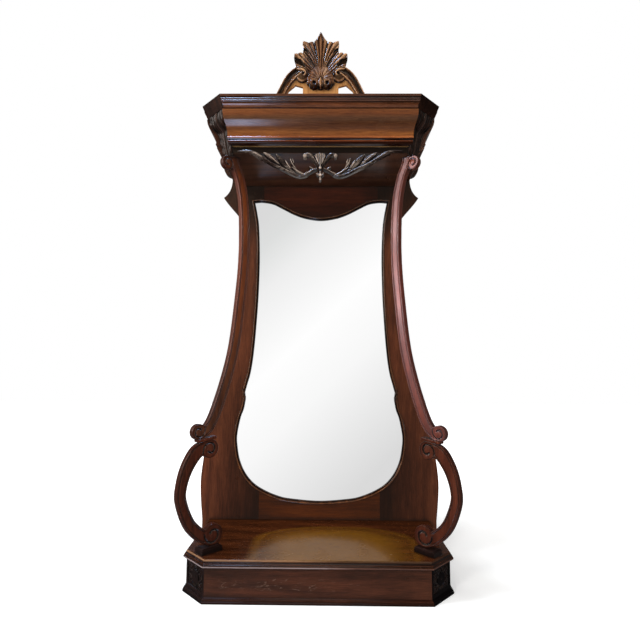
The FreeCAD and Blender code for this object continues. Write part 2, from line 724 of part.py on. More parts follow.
def wall_plate(x):
    """A brass plate with one hole for the wall and two for the wood, let into the back."""
    width = size("wall_plate_width")
    top = size("canopy_top") + size("wall_plate_rise")
    plate = box(x - width / 2, x + width / 2, size("plate_back"), frame_back, top - size("wall_plate_height"), top)
    hole = disc(x, top - width / 2, size("wall_hole_diameter") / 2, frame_front, 2 * frame_back)
    corners = [edge for edge in plate.Edges if abs(edge.tangentAt(0).y) > size("mitre_share")]
    upper = [edge for edge in corners if edge.CenterOfMass.z > top - width]
    return plate.makeFillet(width / 4, upper).cut(hole)


plate_x = size("wall_plate_spacing") / 2
plates = Part.makeCompound([wall_plate(plate_x), wall_plate(-plate_x)])
plate_foot = size("canopy_top") + size("wall_plate_rise") - size("wall_plate_height")
plate_screws = []
for x in (plate_x, -plate_x):
    for step in (0.0, 1.0):
        z = plate_foot + size("wall_plate_width") / 4 + step * size("plate_screw_pitch")
        plate_screws.append(screw(x, z, size("plate_screw_diameter"), size("plate_screw_length"), frame_back))
plate_screws = Part.makeCompound(plate_screws)
fittings = Part.makeCompound([plates, plate_screws, frame_screws])

stile = one_solid(stile.cut(fittings))
feature("stile_right", stile)
feature("stile_left", left_hand(stile))
rail_split = size("sight_base") + size("sight_height") / 2
bottom_rail = box(-joint, joint, frame_front, frame_back, 0, rail_split)
feature("bottom_rail", one_solid(bottom_rail.cut(opening).cut(fittings)))
top_rail = box(-joint, joint, frame_front, frame_back, rail_split, size("frame_height"))
feature("top_rail", one_solid(top_rail.cut(opening).cut(fittings)))

# Mirror: bead, plate, backboard and blocks, one behind the other in the opening

rim = size("bead_width") - size("glass_play")
glass_front = frame_front + size("bead_inset")
glass_back = glass_front + size("glass_thickness")
board_back = glass_back + size("backboard_thickness")
bead_front = frame_front - size("bead_stand")
bead = plate_solid(rim, bead_front, glass_front).cut(plate_solid(0, bead_front - over, glass_front + over))
feature("mirror_bead", one_solid(bead))
feature("mirror_glass", plate_solid(rim, glass_front, glass_back))
feature("mirror_backboard", plate_solid(rim, glass_back, board_back))

BLOCK_SHARES = [(0.0, 0.0), (0.0, 0.936), (0.77, 0.725), (0.99, 0.20)]
blocks = []
for x_share, z_share in BLOCK_SHARES:
    for hand in ((1, -1) if x_share else (1,)):
        x = hand * x_share * size("sight_width") / 2
        z = size("sight_base") + z_share * size("sight_height")
        reach = size("backboard_block_length") / 2
        block = box(x - reach, x + reach, board_back, frame_back, z - reach, z + reach)
        blocks.append(one_solid(block.common(opening)))
feature("backboard_blocks", Part.makeCompound(blocks))

# Canopy

soffit_corners = [
    ("-(canopy_width / 2 - soffit_setback)", "base_depth"),
    ("-(canopy_width / 2 - soffit_setback)", "canopy_cant + soffit_setback * mitre_share"),
    ("-(canopy_front - soffit_setback * mitre_share)", "soffit_setback"),
    ("canopy_front - soffit_setback * mitre_share", "soffit_setback"),
    ("canopy_width / 2 - soffit_setback", "canopy_cant + soffit_setback * mitre_share"),
    ("canopy_width / 2 - soffit_setback", "base_depth"),
]
soffit = padded("canopy_soffit", soffit_corners, "soffit_thickness", "soffit_height")
head_out = "soffit_reach * %s * diagonal_share" % HEAD_DOWEL_SHARE
head_x = "arm_line / 2 + %s" % head_out
head_y = "arm_line / 2 - %s" % head_out
drilled(soffit, "canopy_soffit_bores", [(head_x, head_y), ("-(%s)" % head_x, head_y)],
        "dowel_diameter + 2 * dowel_play", "dowel_grip", lift="soffit_height")
screw_spots = [(spot, "soffit_height + soffit_thickness / 2") for spot in FRAME_SCREW_SPOTS]
drilled(soffit, "canopy_soffit_pilots", screw_spots, "frame_screw_diameter",
        "frame_screw_length - frame_thickness", role="XZ_Plane", lift="-base_depth")
finish_piece(soffit)

board_height = "frame_height - soffit_top"
board_front = plan_side(*CANOPY, "canopy_board_setback", "canopy_board_inner", "front")
board_side = plan_side(*CANOPY, "canopy_board_setback", "canopy_board_inner", "side")
finish_piece(padded("canopy_board_front", board_front, board_height, "soffit_top"))
finish_piece(padded("canopy_board_right", board_side, board_height, "soffit_top"))
finish_piece(padded("canopy_board_left", mirrored(board_side), board_height, "soffit_top"))

top_half = "(canopy_width / 2 - top_board_setback)"
top_turn = "canopy_cant + top_board_setback * mitre_share"
top_front = "(canopy_front - top_board_setback * mitre_share)"
finish_piece(padded("canopy_top_board", [
    ("-%s" % top_half, "plate_back"), ("-%s" % top_half, top_turn), ("-%s" % top_front, "top_board_setback"),
    (top_front, "top_board_setback"), (top_half, top_turn), (top_half, "plate_back"),
], "top_board_thickness", "frame_height"))

BEAD_SHARES = [
    (0.25, 0.0), (0.25, 0.12), (-0.02, 0.48, 0.25, 0.85), (0.40, 0.87), (0.40, 1.0),
]
OGEE_SHARES = [
    (0.95, 0.0), (0.87, 0.035), (0.87, 0.075), (0.91, 0.085), (0.817, 0.28, 0.533, 0.488),
    (0.167, 0.683, 0.0, 0.963), (0.27, 0.963), (0.27, 1.0),
]
CROWN_SHARES = [
    (1.00, 0.00), (0.77, 0.06), (0.68, 0.26, 0.41, 0.37), (0.52, 0.37), (0.52, 0.43), (0.40, 0.43),
    (0.27, 0.51, 0.36, 0.59), (0.21, 0.67, 0.28, 0.75), (0.28, 0.82), (0.10, 0.83), (0.00, 1.00),
]
CROWN_BLOCK_SHARES = [(0.77, 0.0), (0.0, 1.0)]
CORBEL_SHARES = [
    (0.943, 0.0), (0.843, 0.165, 0.757, 0.372), (0.705, 0.479, 0.657, 0.595), (0.560, 0.655, 0.430, 0.715),
    (0.300, 0.820, 0.243, 1.0),
]

board_face = size("canopy_board_setback")
board_inner = size("canopy_board_inner")
bead_size = size("cornice_bead_height")
bead_rows = scaled_rows(BEAD_SHARES, size("cornice_bead_setback"), bead_size, size("soffit_top"), bead_size)
bead_rows += [(board_face, size("ogee_base")), (board_face, size("soffit_top"))]
ogee_rows = scaled_rows(OGEE_SHARES, size("ogee_setback"), size("ogee_depth"), size("ogee_base"),
                        size("ogee_height"))
ogee_rows += [(board_face, size("crown_base")), (board_face, size("ogee_base"))]


def crown_rows(shares, back):
    rebate = size("top_board_setback")
    rows = scaled_rows(shares, 0, size("crown_overhang"), size("crown_base"), size("crown_height"))
    return rows + [(rebate, size("canopy_top")), (rebate, size("frame_height")), (back, size("frame_height")),
                   (back, size("crown_base"))]


for side, name in (("front", "front"), ("side_left", "left"), ("side_right", "right")):
    feature("cornice_bead_" + name, mitred_run(bead_rows, canopy_plan, side))
    feature("cornice_ogee_" + name, mitred_run(ogee_rows, canopy_plan, side))
    feature("crown_moulding_" + name, mitred_run(crown_rows(CROWN_SHARES, board_face), canopy_plan, side))

corbel_rows = scaled_rows(CORBEL_SHARES, 0, size("soffit_setback"), size("crown_base") - size("corbel_height"),
                          size("corbel_height"))
corbel_rows += [(board_inner, size("crown_base")), (board_inner, size("soffit_top")),
                (size("soffit_setback"), size("soffit_top")),
                (size("soffit_setback"), size("crown_base") - size("corbel_height"))]
corbels = []
for side, name in (("cant_left", "left"), ("cant_right", "right")):
    feature("crown_block_" + name, mitred_run(crown_rows(CROWN_BLOCK_SHARES, board_inner), canopy_plan, side))
    corbels.append(mitred_run(corbel_rows, canopy_plan, side))
    feature("corbel_" + name, corbels[-1])

# Supports: pad, lower scroll, collar and upper arm at each side

corbel_near = corbels[1].copy()
home = FreeCAD.Placement(V(size("arm_line") / 2, size("arm_line") / 2, 0), FreeCAD.Rotation(V(0, 0, 1), -45))
corbel_near.Placement = home.inverse().multiply(corbel_near.Placement)
arm = one_solid(arm.cut(corbel_near))


def scroll_pad(label, placing):
    """The bevelled pad under a support, bored for the foot dowel, drawn in the support's own directions."""
    far = "shelf_reach * (1 - %s)" % PAD_OVERLAP_SHARE
    half = "pad_width / 2"
    near = "%s - pad_length" % far
    body = padded(label, [(near, "-" + half), (far, "-" + half), (far, half), (near, half)], "pad_height",
                  "shelf_top")
    foot = "(shelf_reach + (soffit_reach - shelf_reach) * %s) * %s" % (SCROLL_FOOT_SHARES[1], SCROLL_FOOT_SHARES[0])
    drilled(body, label + "_bore", [(foot, "0")], "dowel_diameter + 2 * dowel_play", "pad_height + cut_overrun",
            lift="shelf_top")
    rim = [i + 1 for i, edge in enumerate(body.Tip.Shape.Edges)
           if len(edge.Vertexes) == 2 and min(v.Z for v in edge.Vertexes) > value("shelf_top + pad_height / 2")]
    bevel = body.newObject("PartDesign::Chamfer", label + "_bevel")
    bevel.Base = (body.Group[-2], ["Edge%d" % i for i in rim])
    bevel.setExpression("Size", linked("pad_bevel"))
    doc.recompute()
    return finish_piece(body, **placing)


def arm_collar(label, right):
    """The rounded slab between arm and scroll, bored for the dowel that passes it."""
    half = "collar_length / 2"
    side = "collar_width / 2"
    body = padded(label, [("-" + half, "-" + side), (half, "-" + side), (half, side), ("-" + half, side)],
                  "collar_thickness", "-collar_thickness / 2")
    drilled(body, label + "_bore", [("collar_length * %s" % COLLAR_DOWEL_SHARE, "0")],
            "dowel_diameter + 2 * dowel_play", "collar_thickness + cut_overrun", lift="-collar_thickness / 2")
    straight = [i + 1 for i, edge in enumerate(body.Tip.Shape.Edges) if isinstance(edge.Curve, Part.Line)
                and len(edge.Vertexes) == 2 and max(abs(v.Y) for v in edge.Vertexes) > value(side) / 2]
    rounding = body.newObject("PartDesign::Fillet", label + "_rounding")
    rounding.Base = (body.Group[-2], ["Edge%d" % i for i in straight])
    rounding.setExpression("Radius", linked("collar_round"))
    doc.recompute()
    out = "(shelf_reach + (soffit_reach - shelf_reach) * %s) * %s * diagonal_share" % COLLAR_SHARES[::-1]
    side_sign = "" if right else "-"
    place = ("%s(arm_line / 2 + %s)" % (side_sign, out), "arm_line / 2 - %s" % out,
             "shelf_top + soffit_rise * %s" % COLLAR_SHARES[1])
    return finish_piece(body, place=place, turn=-45 if right else -135, tilt=COLLAR_TILT)


for name, right in (("right", True), ("left", False)):
    placing = support_placing(right)
    scroll_pad("scroll_pad_" + name, placing)
    feature("lower_scroll_" + name, scroll, **placing)
    arm_collar("arm_collar_" + name, right)
    feature("upper_arm_" + name, arm, **placing)
feature("arm_dowels", placed_supports(dowels(0)))

# Valance: a leafy branch each side of a bell with curled petals, and a pendant below

BRANCH_SHARES = [
    (0.060, 0.690, 0.16), (0.189, 0.775, 0.15), (0.336, 0.690, 0.14), (0.502, 0.390, 0.13), (0.649, 0.190, 0.12),
    (0.811, 0.095, 0.12), (0.970, 0.095, 0.11),
]
PETAL_SHARES = [(0.030, 0.620, 0.10), (0.070, 0.350, 0.12), (0.110, 0.160, 0.12), (0.155, 0.080, 0.12)]
INNER_LEAF_SHARES = [(0.390, 0.640, 0.13), (0.335, 0.520, 0.13), (0.285, 0.330, 0.12)]
TALL_LEAF_SHARES = [(0.370, 0.700, 0.14), (0.440, 0.380, 0.18), (0.490, -0.100, 0.12)]
OUTER_LEAF_SHARES = [(0.480, 0.480, 0.13), (0.580, 0.200, 0.16), (0.660, -0.100, 0.12)]
CURL_SHARES = [(0.158, 0.170, 0.125), (0.275, 0.310, 0.110), (0.970, 0.090, 0.105)]
BELL_SHARES = [(0.030, 0.0), (0.085, 0.52), (0.085, 0.67), (0.055, 0.80), (0.0, 1.0)]

valance_top = size("soffit_height")
drop = size("valance_drop")
reach = size("valance_width") / 2
valance_front = size("valance_setback")
valance_back = valance_front + size("valance_thickness")
bell = [(x * reach, valance_top - z * drop) for x, z in BELL_SHARES]
bell = bell + [(-x, z) for x, z in reversed(bell[:-1])]
half_valance = [
    band([(x * reach, valance_top - z * drop, w * drop) for x, z, w in shares], valance_front, valance_back)
    for shares in (BRANCH_SHARES, PETAL_SHARES, INNER_LEAF_SHARES, TALL_LEAF_SHARES, OUTER_LEAF_SHARES)
]
half_valance += [disc(x * reach, valance_top - z * drop, r * drop, valance_front, valance_back)
                 for x, z, r in CURL_SHARES]
valance = fused([upright(polygon_xz(bell), valance_front, valance_back)] + half_valance
                + [left_hand(piece) for piece in half_valance])
below = box(-2 * reach, 2 * reach, 0, 2 * valance_back, valance_top - 2 * drop, valance_top)
feature("valance_carving", one_solid(valance.common(below)))

# Crest: a foot, a pierced backing plate, two scrolls and the shell in front of it

SHELL_SHARES = [
    (0.0, 1.0, True), (0.143, 0.860, True), (0.374, 0.855, True), (0.374, 0.712, True), (0.544, 0.675, True),
    (0.510, 0.525, True), (0.476, 0.478, True), (0.306, 0.447, True), (0.299, 0.355, False),
    (0.245, 0.254, False), (0.163, 0.202, True), (0.068, 0.219, True), (0.0, 0.175, True),
]
SCROLL_SHARES = [
    (0.410, 0.440, 0.20), (0.560, 0.390, 0.19), (0.670, 0.315, 0.18), (0.760, 0.210, 0.16), (0.830, 0.115, 0.15),
    (0.905, 0.0, 0.17),
]
SCROLL_EYE_SHARES = (0.370, 0.395, 0.155)
PLATE_SHARES = [
    (0.990, 0.0, True), (0.890, 0.130, False), (0.815, 0.225, False), (0.730, 0.325, False),
    (0.620, 0.405, False), (0.490, 0.455, True), (0.450, 0.520, True), (0.490, 0.640, True),
    (0.330, 0.680, True), (0.330, 0.820, True), (0.130, 0.825, True), (0.0, 0.925, True),
]
WINDOW_SHARES = [(0.374, 0.0), (0.374, 0.232), (0.530, 0.261), (0.663, 0.183), (0.760, 0.100), (0.780, 0.0)]
FLUTE_ANGLES = (-66, -47, -29, -10, 10, 29, 47, 66)
HINGE_SHARE = 0.375
FLUTE_START_SHARE = 0.20

crest_half = size("crest_width") / 2
crest_z = size("crest_base")
crest_rise = size("crest_height")
plate_front = size("crest_setback")
plate_rear = plate_front + size("crest_plate_thickness")
carving_front = plate_front - size("crest_carving_thickness")


def crest_outline(shares, closing):
    right = [(V(x * crest_half, 0, crest_z + z * crest_rise), corner) for x, z, corner in shares]
    left = [(V(-point.x, 0, point.z), corner) for point, corner in reversed(right) if point.x > 0]
    return closed_outline(right + left) if closing else right + left


crest_foot = doc.addObject("Part::Box", "crest_foot")
crest_foot.setExpression("Length", linked("crest_width + 2 * crest_foot_height"))
crest_foot.setExpression("Width", linked("crest_foot_depth"))
crest_foot.setExpression("Height", linked("crest_foot_height"))
foot_y = "crest_setback - crest_carving_thickness - (crest_foot_depth - crest_carving_thickness" \
         " - crest_plate_thickness) / 2"
finish_piece(crest_foot, place=("-(crest_width / 2 + crest_foot_height)", foot_y, "canopy_top"))

plate_rows = list(reversed(crest_outline(PLATE_SHARES, False)))
middle = [row for row in plate_rows if row[0].x == 0][0]
right_rows = [row for row in plate_rows if row[0].x > 0][::-1]
left_rows = [(V(-point.x, 0, point.z), corner) for point, corner in right_rows[::-1]]
crest_plate = upright(closed_outline(right_rows + [middle] + left_rows), plate_front, plate_rear)
window = [(x * crest_half, crest_z + z * crest_rise) for x, z in WINDOW_SHARES]
window = [(window[0][0], crest_z - over)] + window[1:-1] + [(window[-1][0], crest_z - over)]
window = upright(polygon_xz(window), plate_front - over, plate_rear + over)
feature("crest_plate", one_solid(crest_plate.cut(window).cut(left_hand(window))))

blank = upright(crest_outline(SHELL_SHARES, True), carving_front, plate_front)
dome_radius = size("shell_dome_diameter") / 2
swell = size("shell_dome_height")
ball_radius = (dome_radius ** 2 + swell ** 2) / (2 * swell)
hinge_z = crest_z + HINGE_SHARE * crest_rise
ball = Part.makeSphere(ball_radius, V(0, carving_front - swell + ball_radius, hinge_z))
cap = ball.common(disc(0, hinge_z, dome_radius, carving_front - 2 * swell, carving_front + over))
start = crest_z + (HINGE_SHARE + FLUTE_START_SHARE) * crest_rise
flutes = []
for angle in FLUTE_ANGLES:
    along = V(math.sin(math.radians(angle)), 0, math.cos(math.radians(angle)))
    flutes.append(Part.makeCylinder(size("flute_diameter") / 2, crest_rise,
                                    V(0, carving_front, hinge_z).add(along * (start - hinge_z)), along))
shell = one_solid(blank.cut(flutes).fuse(cap))
feature("crest_shell", shell)

scroll_band = [(x * crest_half, crest_z + z * crest_rise, w * crest_half) for x, z, w in SCROLL_SHARES]
eye_x, eye_z, eye_r = SCROLL_EYE_SHARES
crest_scroll = fused([
    band(scroll_band, carving_front, plate_front),
    disc(eye_x * crest_half, crest_z + eye_z * crest_rise, eye_r * crest_half, carving_front, plate_front),
])
above_foot = box(-2 * crest_half, 2 * crest_half, 0, 2 * plate_rear, crest_z, crest_z + crest_rise)
crest_scroll = one_solid(crest_scroll.common(above_foot).cut(blank).cut(cap))
feature("crest_scroll_right", crest_scroll)
feature("crest_scroll_left", left_hand(crest_scroll))

# Fittings

feature("wall_plates", plates.cut(plate_screws))
feature("wall_plate_screws", plate_screws)
feature("frame_screws", frame_screws)

# Every object is checked before anything is written

doc.recompute()
for item in doc.Objects:
    if "Invalid" in item.State or "Error" in item.State:
        raise RuntimeError("%s did not compute: %s" % (item.Label, item.State))
os.makedirs("parts", exist_ok=True)
for piece in PARTS:
    if piece.Shape.isNull() or not piece.Shape.isValid() or not piece.Shape.Solids:
        raise RuntimeError(piece.Label + " has no valid shape")
for piece in PARTS:
    piece.Shape.exportStep("parts/%s.step" % piece.Label)
everything = Part.makeCompound([piece.Shape for piece in PARTS])
extent = everything.optimalBoundingBox(False)
print("%d pieces" % len(PARTS))
print("x %.2f to %.2f, y %.2f to %.2f, z %.2f to %.2f" % (
    extent.XMin, extent.XMax, extent.YMin, extent.YMax, extent.ZMin, extent.ZMax))
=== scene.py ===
import math

import bpy
import numpy as np
import openvdb as vdb
from mathutils import Matrix, Vector


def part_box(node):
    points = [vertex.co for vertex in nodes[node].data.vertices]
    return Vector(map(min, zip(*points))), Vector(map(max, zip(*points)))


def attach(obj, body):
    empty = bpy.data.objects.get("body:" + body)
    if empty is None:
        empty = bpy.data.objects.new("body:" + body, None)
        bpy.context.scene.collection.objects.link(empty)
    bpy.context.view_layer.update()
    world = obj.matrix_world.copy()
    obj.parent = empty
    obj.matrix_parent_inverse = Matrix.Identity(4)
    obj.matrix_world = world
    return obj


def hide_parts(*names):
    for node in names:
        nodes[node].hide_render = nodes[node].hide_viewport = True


# Looks of the Victorian wall mirror: polished walnut and mahogany, with carved leaf work, rounded scroll
# supports, a dark bead round the plate, and a soft white studio. Pieces are drawn in millimetres and placed
# in metres, in the frame of the CAD model.

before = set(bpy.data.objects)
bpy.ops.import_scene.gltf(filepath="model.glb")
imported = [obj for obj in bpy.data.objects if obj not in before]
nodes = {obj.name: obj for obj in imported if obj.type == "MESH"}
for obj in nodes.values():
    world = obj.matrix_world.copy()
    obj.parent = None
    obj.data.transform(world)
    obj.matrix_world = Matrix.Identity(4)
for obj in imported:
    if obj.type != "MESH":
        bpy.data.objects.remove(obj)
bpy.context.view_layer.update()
scene = bpy.context.scene
scene.view_settings.view_transform = "Standard"

MM = 0.001

# Real sizes, in millimetres, the same as those of the CAD source
BASE_WIDTH = 760
BASE_CANT = 72
CANOPY_WIDTH = 730
CANOPY_CANT = 69
SHELF_TOP = 110
SOFFIT_RISE = 1165
SOFFIT_HEIGHT = 1275
CORBEL_BASE = 1268
CORNICE_BASE = 1294
OGEE_BASE = 1307
CROWN_BASE = 1389
CANOPY_TOP = 1424
FRAME_BACK = 354
ARM_LINE = 372.5
SHELF_REACH = 207.8
SOFFIT_REACH = 139.3
ARM_WIDTH = 30
ARM_THICKNESS = 18
SCROLL_WIDTH = 36
PAD_TOP = 126
SIGHT_WIDTH = 570
SIGHT_BASE = 170
SIGHT_HEIGHT = 1045.5
BASE_DEPTH = 332
CREST_HALF = 147
CREST_BASE = 1434
CREST_RISE = 223
ORIGIN_DEPTH = FRAME_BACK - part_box("wall_plates")[1].y / MM


# Curves in the plane

def unit(value):
    """The value, held between 0 and 1."""
    return np.clip(value, 0, 1)


def smooth(rows, steps=14):
    """A smooth line through rows of numbers, as many columns as each row has."""
    pts = np.array(rows, float)
    ends = np.vstack([2 * pts[0] - pts[1], pts, 2 * pts[-1] - pts[-2]])
    out = []
    for i in range(len(pts) - 1):
        a, b, c, d = ends[i:i + 4]
        t = np.linspace(0, 1, steps, endpoint=False)[:, None]
        out.append(0.5 * (2 * b + (c - a) * t + (2 * a - 5 * b + 4 * c - d) * t ** 2
                          + (3 * b - a - 3 * c + d) * t ** 3))
    return np.vstack(out + [pts[-1:]])


def along_line(line, x, z):
    """Distance from the points (x, z) to a line, with the side, the share along it and the width there."""
    best = np.full(x.shape, 1e9)
    side = np.zeros(x.shape)
    where = np.zeros(x.shape)
    runs = np.concatenate([[0], np.cumsum(np.hypot(*np.diff(line[:, :2], axis=0).T))])
    for i in range(len(line) - 1):
        ax, az = line[i, :2]
        dx, dz = line[i + 1, :2] - line[i, :2]
        length = dx * dx + dz * dz
        t = unit(((x - ax) * dx + (z - az) * dz) / length)
        px, pz = x - ax - t * dx, z - az - t * dz
        dist = np.hypot(px, pz)
        near = dist < best
        best = np.where(near, dist, best)
        side = np.where(near, np.sign(dx * pz - dz * px), side)
        where = np.where(near, runs[i] + t * math.sqrt(length), where)
    widths = np.interp(where, runs, line[:, 2]) if line.shape[1] > 2 else None
    return best, side, where / runs[-1], widths


def inside_polygon(points, x, z):
    """Signed distance to a closed polygon, negative inside."""
    points = points[np.any(points != np.roll(points, 1, axis=0), axis=1)]
    closed = np.vstack([points, points[:1]])
    within = np.zeros(x.shape, bool)
    for (ax, az), (bx, bz) in zip(closed, closed[1:]):
        if az != bz:
            within ^= ((az > z) != (bz > z)) & (x < (bx - ax) * (z - az) / (bz - az) + ax)
    dist = along_line(closed, x, z)[0]
    return np.where(within, -dist, dist)


def disc_at(centre, radius, x, z):
    return np.hypot(x - centre[0], z - centre[1]) - radius


def blend_min(a, b, soft):
    """The union of two distances with a hollow of that radius between them."""
    h = unit(0.5 + 0.5 * (b - a) / soft)
    return b * (1 - h) + a * h - soft * h * (1 - h)


def ridge(value, half):
    """1 on a line, falling to 0 at half a width from it."""
    return unit(1 - (value / half) ** 2)


def half_round(value):
    """1 in the middle, falling to 0 at -1 and 1 as a half circle does."""
    return np.sqrt(unit(1 - value ** 2))


THINNEST = 0.01


def leaf(line, x, z):
    """Distance outside a leaf drawn as a line with widths, and the share across it, -1 to 1."""
    dist, side, _, width = along_line(line, x, z)
    return dist - width / 2, side * dist / (width / 2 + THINNEST)


# Volumes and meshes

class Field:
    """A box of cells in a piece's own directions, in millimetres."""

    def __init__(self, low, high, cell):
        self.low = np.array(low, float)
        self.cell = cell
        counts = np.ceil((np.array(high, float) - self.low) / cell).astype(int) + 1
        axes = [self.low[i] + cell * np.arange(counts[i]) for i in range(3)]
        self.x, self.z = np.meshgrid(axes[0], axes[2], indexing="ij")
        self.y = axes[1]

    def slope(self, face):
        """How much longer a carved face is than the plane behind it, to keep its distances true."""
        return np.sqrt(1 + sum(g ** 2 for g in np.gradient(face, self.cell)))[:, None, :]

    def slab(self, edge, front, back, front_round=0.0, back_round=0.0):
        """Cells inside an outline and between a carved front and a back, as signed distances."""
        def fall(radius):
            near = np.clip(edge + radius, 0, radius)
            return radius - np.sqrt(np.maximum(radius ** 2 - near ** 2, 0))
        y = self.y[None, :, None]
        front = front + fall(front_round)
        back = back - fall(back_round)
        ahead = (front[:, None, :] - y) / self.slope(front)
        behind = (y - back[:, None, :]) / self.slope(back)
        return np.maximum(np.maximum(ahead, behind), edge[:, None, :])

    def mesh(self, values):
        grid = vdb.FloatGrid(10.0)
        grid.copyFromArray(np.clip(values, -6, 6).astype(np.float32))
        points, quads = grid.convertToQuads(0.0)
        return points * self.cell + self.low, quads

    def sample(self, drawn, points):
        """What a map drawn over the field says at the points of a mesh."""
        i = np.clip(np.rint((points[:, 0] - self.low[0]) / self.cell), 0, drawn.shape[0] - 1).astype(int)
        k = np.clip(np.rint((points[:, 2] - self.low[2]) / self.cell), 0, drawn.shape[1] - 1).astype(int)
        return drawn[i, k]


def new_piece(name, points, faces, wear_and_light, slot, *stands_for):
    """A piece from points in drawing millimetres, with y = 0 at the front of the plinth, and their wear and
    painted light.
    """
    placed = (np.asarray(points, float) - (0, ORIGIN_DEPTH, 0)).astype(np.float32) * MM
    mesh = bpy.data.meshes.new(name)
    mesh.from_pydata(placed.tolist(), [], np.asarray(faces).tolist(), shade_flat=False)
    mesh.attributes.new("wear_and_light", "FLOAT", "POINT").data.foreach_set("value", wear_and_light.astype(np.float32))
    mesh.validate()
    piece = bpy.data.objects.new(name, mesh)
    scene.collection.objects.link(piece)
    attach(piece, "root")
    if stands_for:
        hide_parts(*stands_for)
    PIECES[name] = piece


def turned(points, spot, angle):
    """Points turned about Z and moved to a spot."""
    c, s = math.cos(math.radians(angle)), math.sin(math.radians(angle))
    x, y, z = np.asarray(points, float).T
    return np.stack([c * x - s * y + spot[0], s * x + c * y + spot[1], z], 1)


def both_hands(name, points, quads, wear_and_light, slot, stem=None):
    """A right-hand piece and its mirror image, each standing for its CAD node if there is one."""
    flipped = points * (-1, 1, 1), np.asarray(quads)[:, ::-1]
    for hand, (drawn, faces) in (("right", (points, quads)), ("left", flipped)):
        stands_for = [stem + "_" + hand] if stem else []
        new_piece(name + "_" + hand, drawn, faces, wear_and_light, slot, *stands_for)


PIECES = {}


def cell_size(full):
    return full


# Scrolled supports, drawn in their own upright plane as in the CAD source

UPPER_ARM_SHARES = [
    (0.869, 1.01), (0.84, 0.985), (0.686, 0.9485), (0.559, 0.893), (0.494, 0.8155), (0.4735, 0.721),
    (0.514, 0.6206), (0.598, 0.4936), (0.732, 0.4009), (0.884, 0.3262), (0.985, 0.2944), (1.09, 0.28),
]
LOWER_SCROLL_SHARES = [
    (0.935, 0.249, 0.86), (1.0115, 0.248, 1.0), (1.1535, 0.237, 1.083), (1.279, 0.2026, 0.944),
    (1.3325, 0.163, 0.806), (1.3175, 0.1305, 0.806), (1.187, 0.0815, 0.861), (1.038, 0.0515, 0.944),
    (0.886, 0.0343, 1.0), (0.8, 0.033, 0.9),
]


def support_point(out, up):
    return (SHELF_REACH + (SOFFIT_REACH - SHELF_REACH) * up) * out, SHELF_TOP + SOFFIT_RISE * up


# A spiral groove, as shares of its volute: its turns, its outer and inner radius, and half its width
GROOVE_TURNS, GROOVE_OUTER, GROOVE_INNER, GROOVE_HALF = 0.95, 0.97, 0.36, 0.085


def volute_groove(x, z, centre, radius, start, turn):
    """Depth share of a spiral groove that comes in from the rim at an angle and winds to the eye."""
    t = np.linspace(0, 1, 90)
    angle = math.radians(start) + turn * t * GROOVE_TURNS * 2 * math.pi
    shrink = GROOVE_INNER + (GROOVE_OUTER - GROOVE_INNER) * (0.34 * np.exp(-t * 8) + 0.66 * (1 - t) ** 0.9)
    line = np.stack([centre[0] + radius * shrink * np.cos(angle), centre[1] + radius * shrink * np.sin(angle),
                     radius * GROOVE_HALF * (1 + 0.5 * t)], 1)
    dist, _, where, width = along_line(line, x, z)
    return ridge(dist, width) * unit(where * 14)


# The edge of a support's flat face: a rounded rim, a bead and a quirk inside it, and the volutes' grooves
RIM_ROUND = 1.5
BEAD_INSET, BEAD_HALF, BEAD_RISE = 2.6, 2.8, 0.7
QUIRK_INSET, QUIRK_HALF, QUIRK_DEPTH = 5.6, 1.6, 1.4
GROOVE_DEPTH = 4.6
VOLUTE_BLEND = 3.0
EYE_SHARE = 0.42


def support_body(field, line, volutes, cuts):
    """Signed distances of one support: a flat-faced bar, beaded along its edges, with volutes at its ends."""
    x, z = field.x, field.z
    edge, _ = leaf(line, x, z)
    for centre, radius, _, _ in volutes:
        edge = blend_min(edge, disc_at(centre, radius, x, z), VOLUTE_BLEND)
    carve = QUIRK_DEPTH * ridge(edge + QUIRK_INSET, QUIRK_HALF)
    carve -= BEAD_RISE * ridge(edge + BEAD_INSET, BEAD_HALF)
    swell = 0.0
    for centre, radius, start, turn in volutes:
        fade = unit(-disc_at(centre, radius, x, z) / 4 + 0.2)
        swell = swell + unit(1 - disc_at(centre, 0, x, z) / (radius * EYE_SHARE)) ** 0.6
        carve = carve * (1 - fade) + GROOVE_DEPTH * volute_groove(x, z, centre, radius, start, turn)
    rim = unit((edge + QUIRK_INSET) / 2)
    # Wear and painted light: painted shade along the edges, in the quirk and in the grooves of the volutes,
    # and a painted highlight on the swelling eyes
    wear_and_light = unit(0.45 - 0.2 * rim - 0.3 * np.maximum(carve, 0) + 0.12 * swell)
    face = ARM_THICKNESS / 2 - BEAD_RISE - carve + swell
    values = field.slab(edge, -face, face, RIM_ROUND, RIM_ROUND)
    for normal, offset in cuts:
        plane = normal[0] * x + normal[1] * z - offset
        values = np.maximum(values, plane[:, None, :])
    return values, wear_and_light


def carve_support(stem, low, high, line, volutes, cuts):
    """Both hands of a support, cut in its own upright plane and turned to stand at 45 degrees."""
    field = Field(low, high, cell_size(1.1))
    values, wear_and_light = support_body(field, line, volutes, cuts)
    points, quads = field.mesh(values)
    placed = turned(points, (ARM_LINE / 2, ARM_LINE / 2), -45)
    both_hands("carved_" + stem, placed, quads, field.sample(wear_and_light, points), "frame_mahogany", stem)


def volute(out, up, radius, start, turn):
    return support_point(out, up), radius, start, turn


COLLAR = support_point(1.007, 0.267)
COLLAR_HALF = 4
LEAN = math.radians(6)
COLLAR_NORMAL = (math.sin(LEAN), math.cos(LEAN))
collar_mid = COLLAR_NORMAL[0] * COLLAR[0] + COLLAR_NORMAL[1] * COLLAR[1]

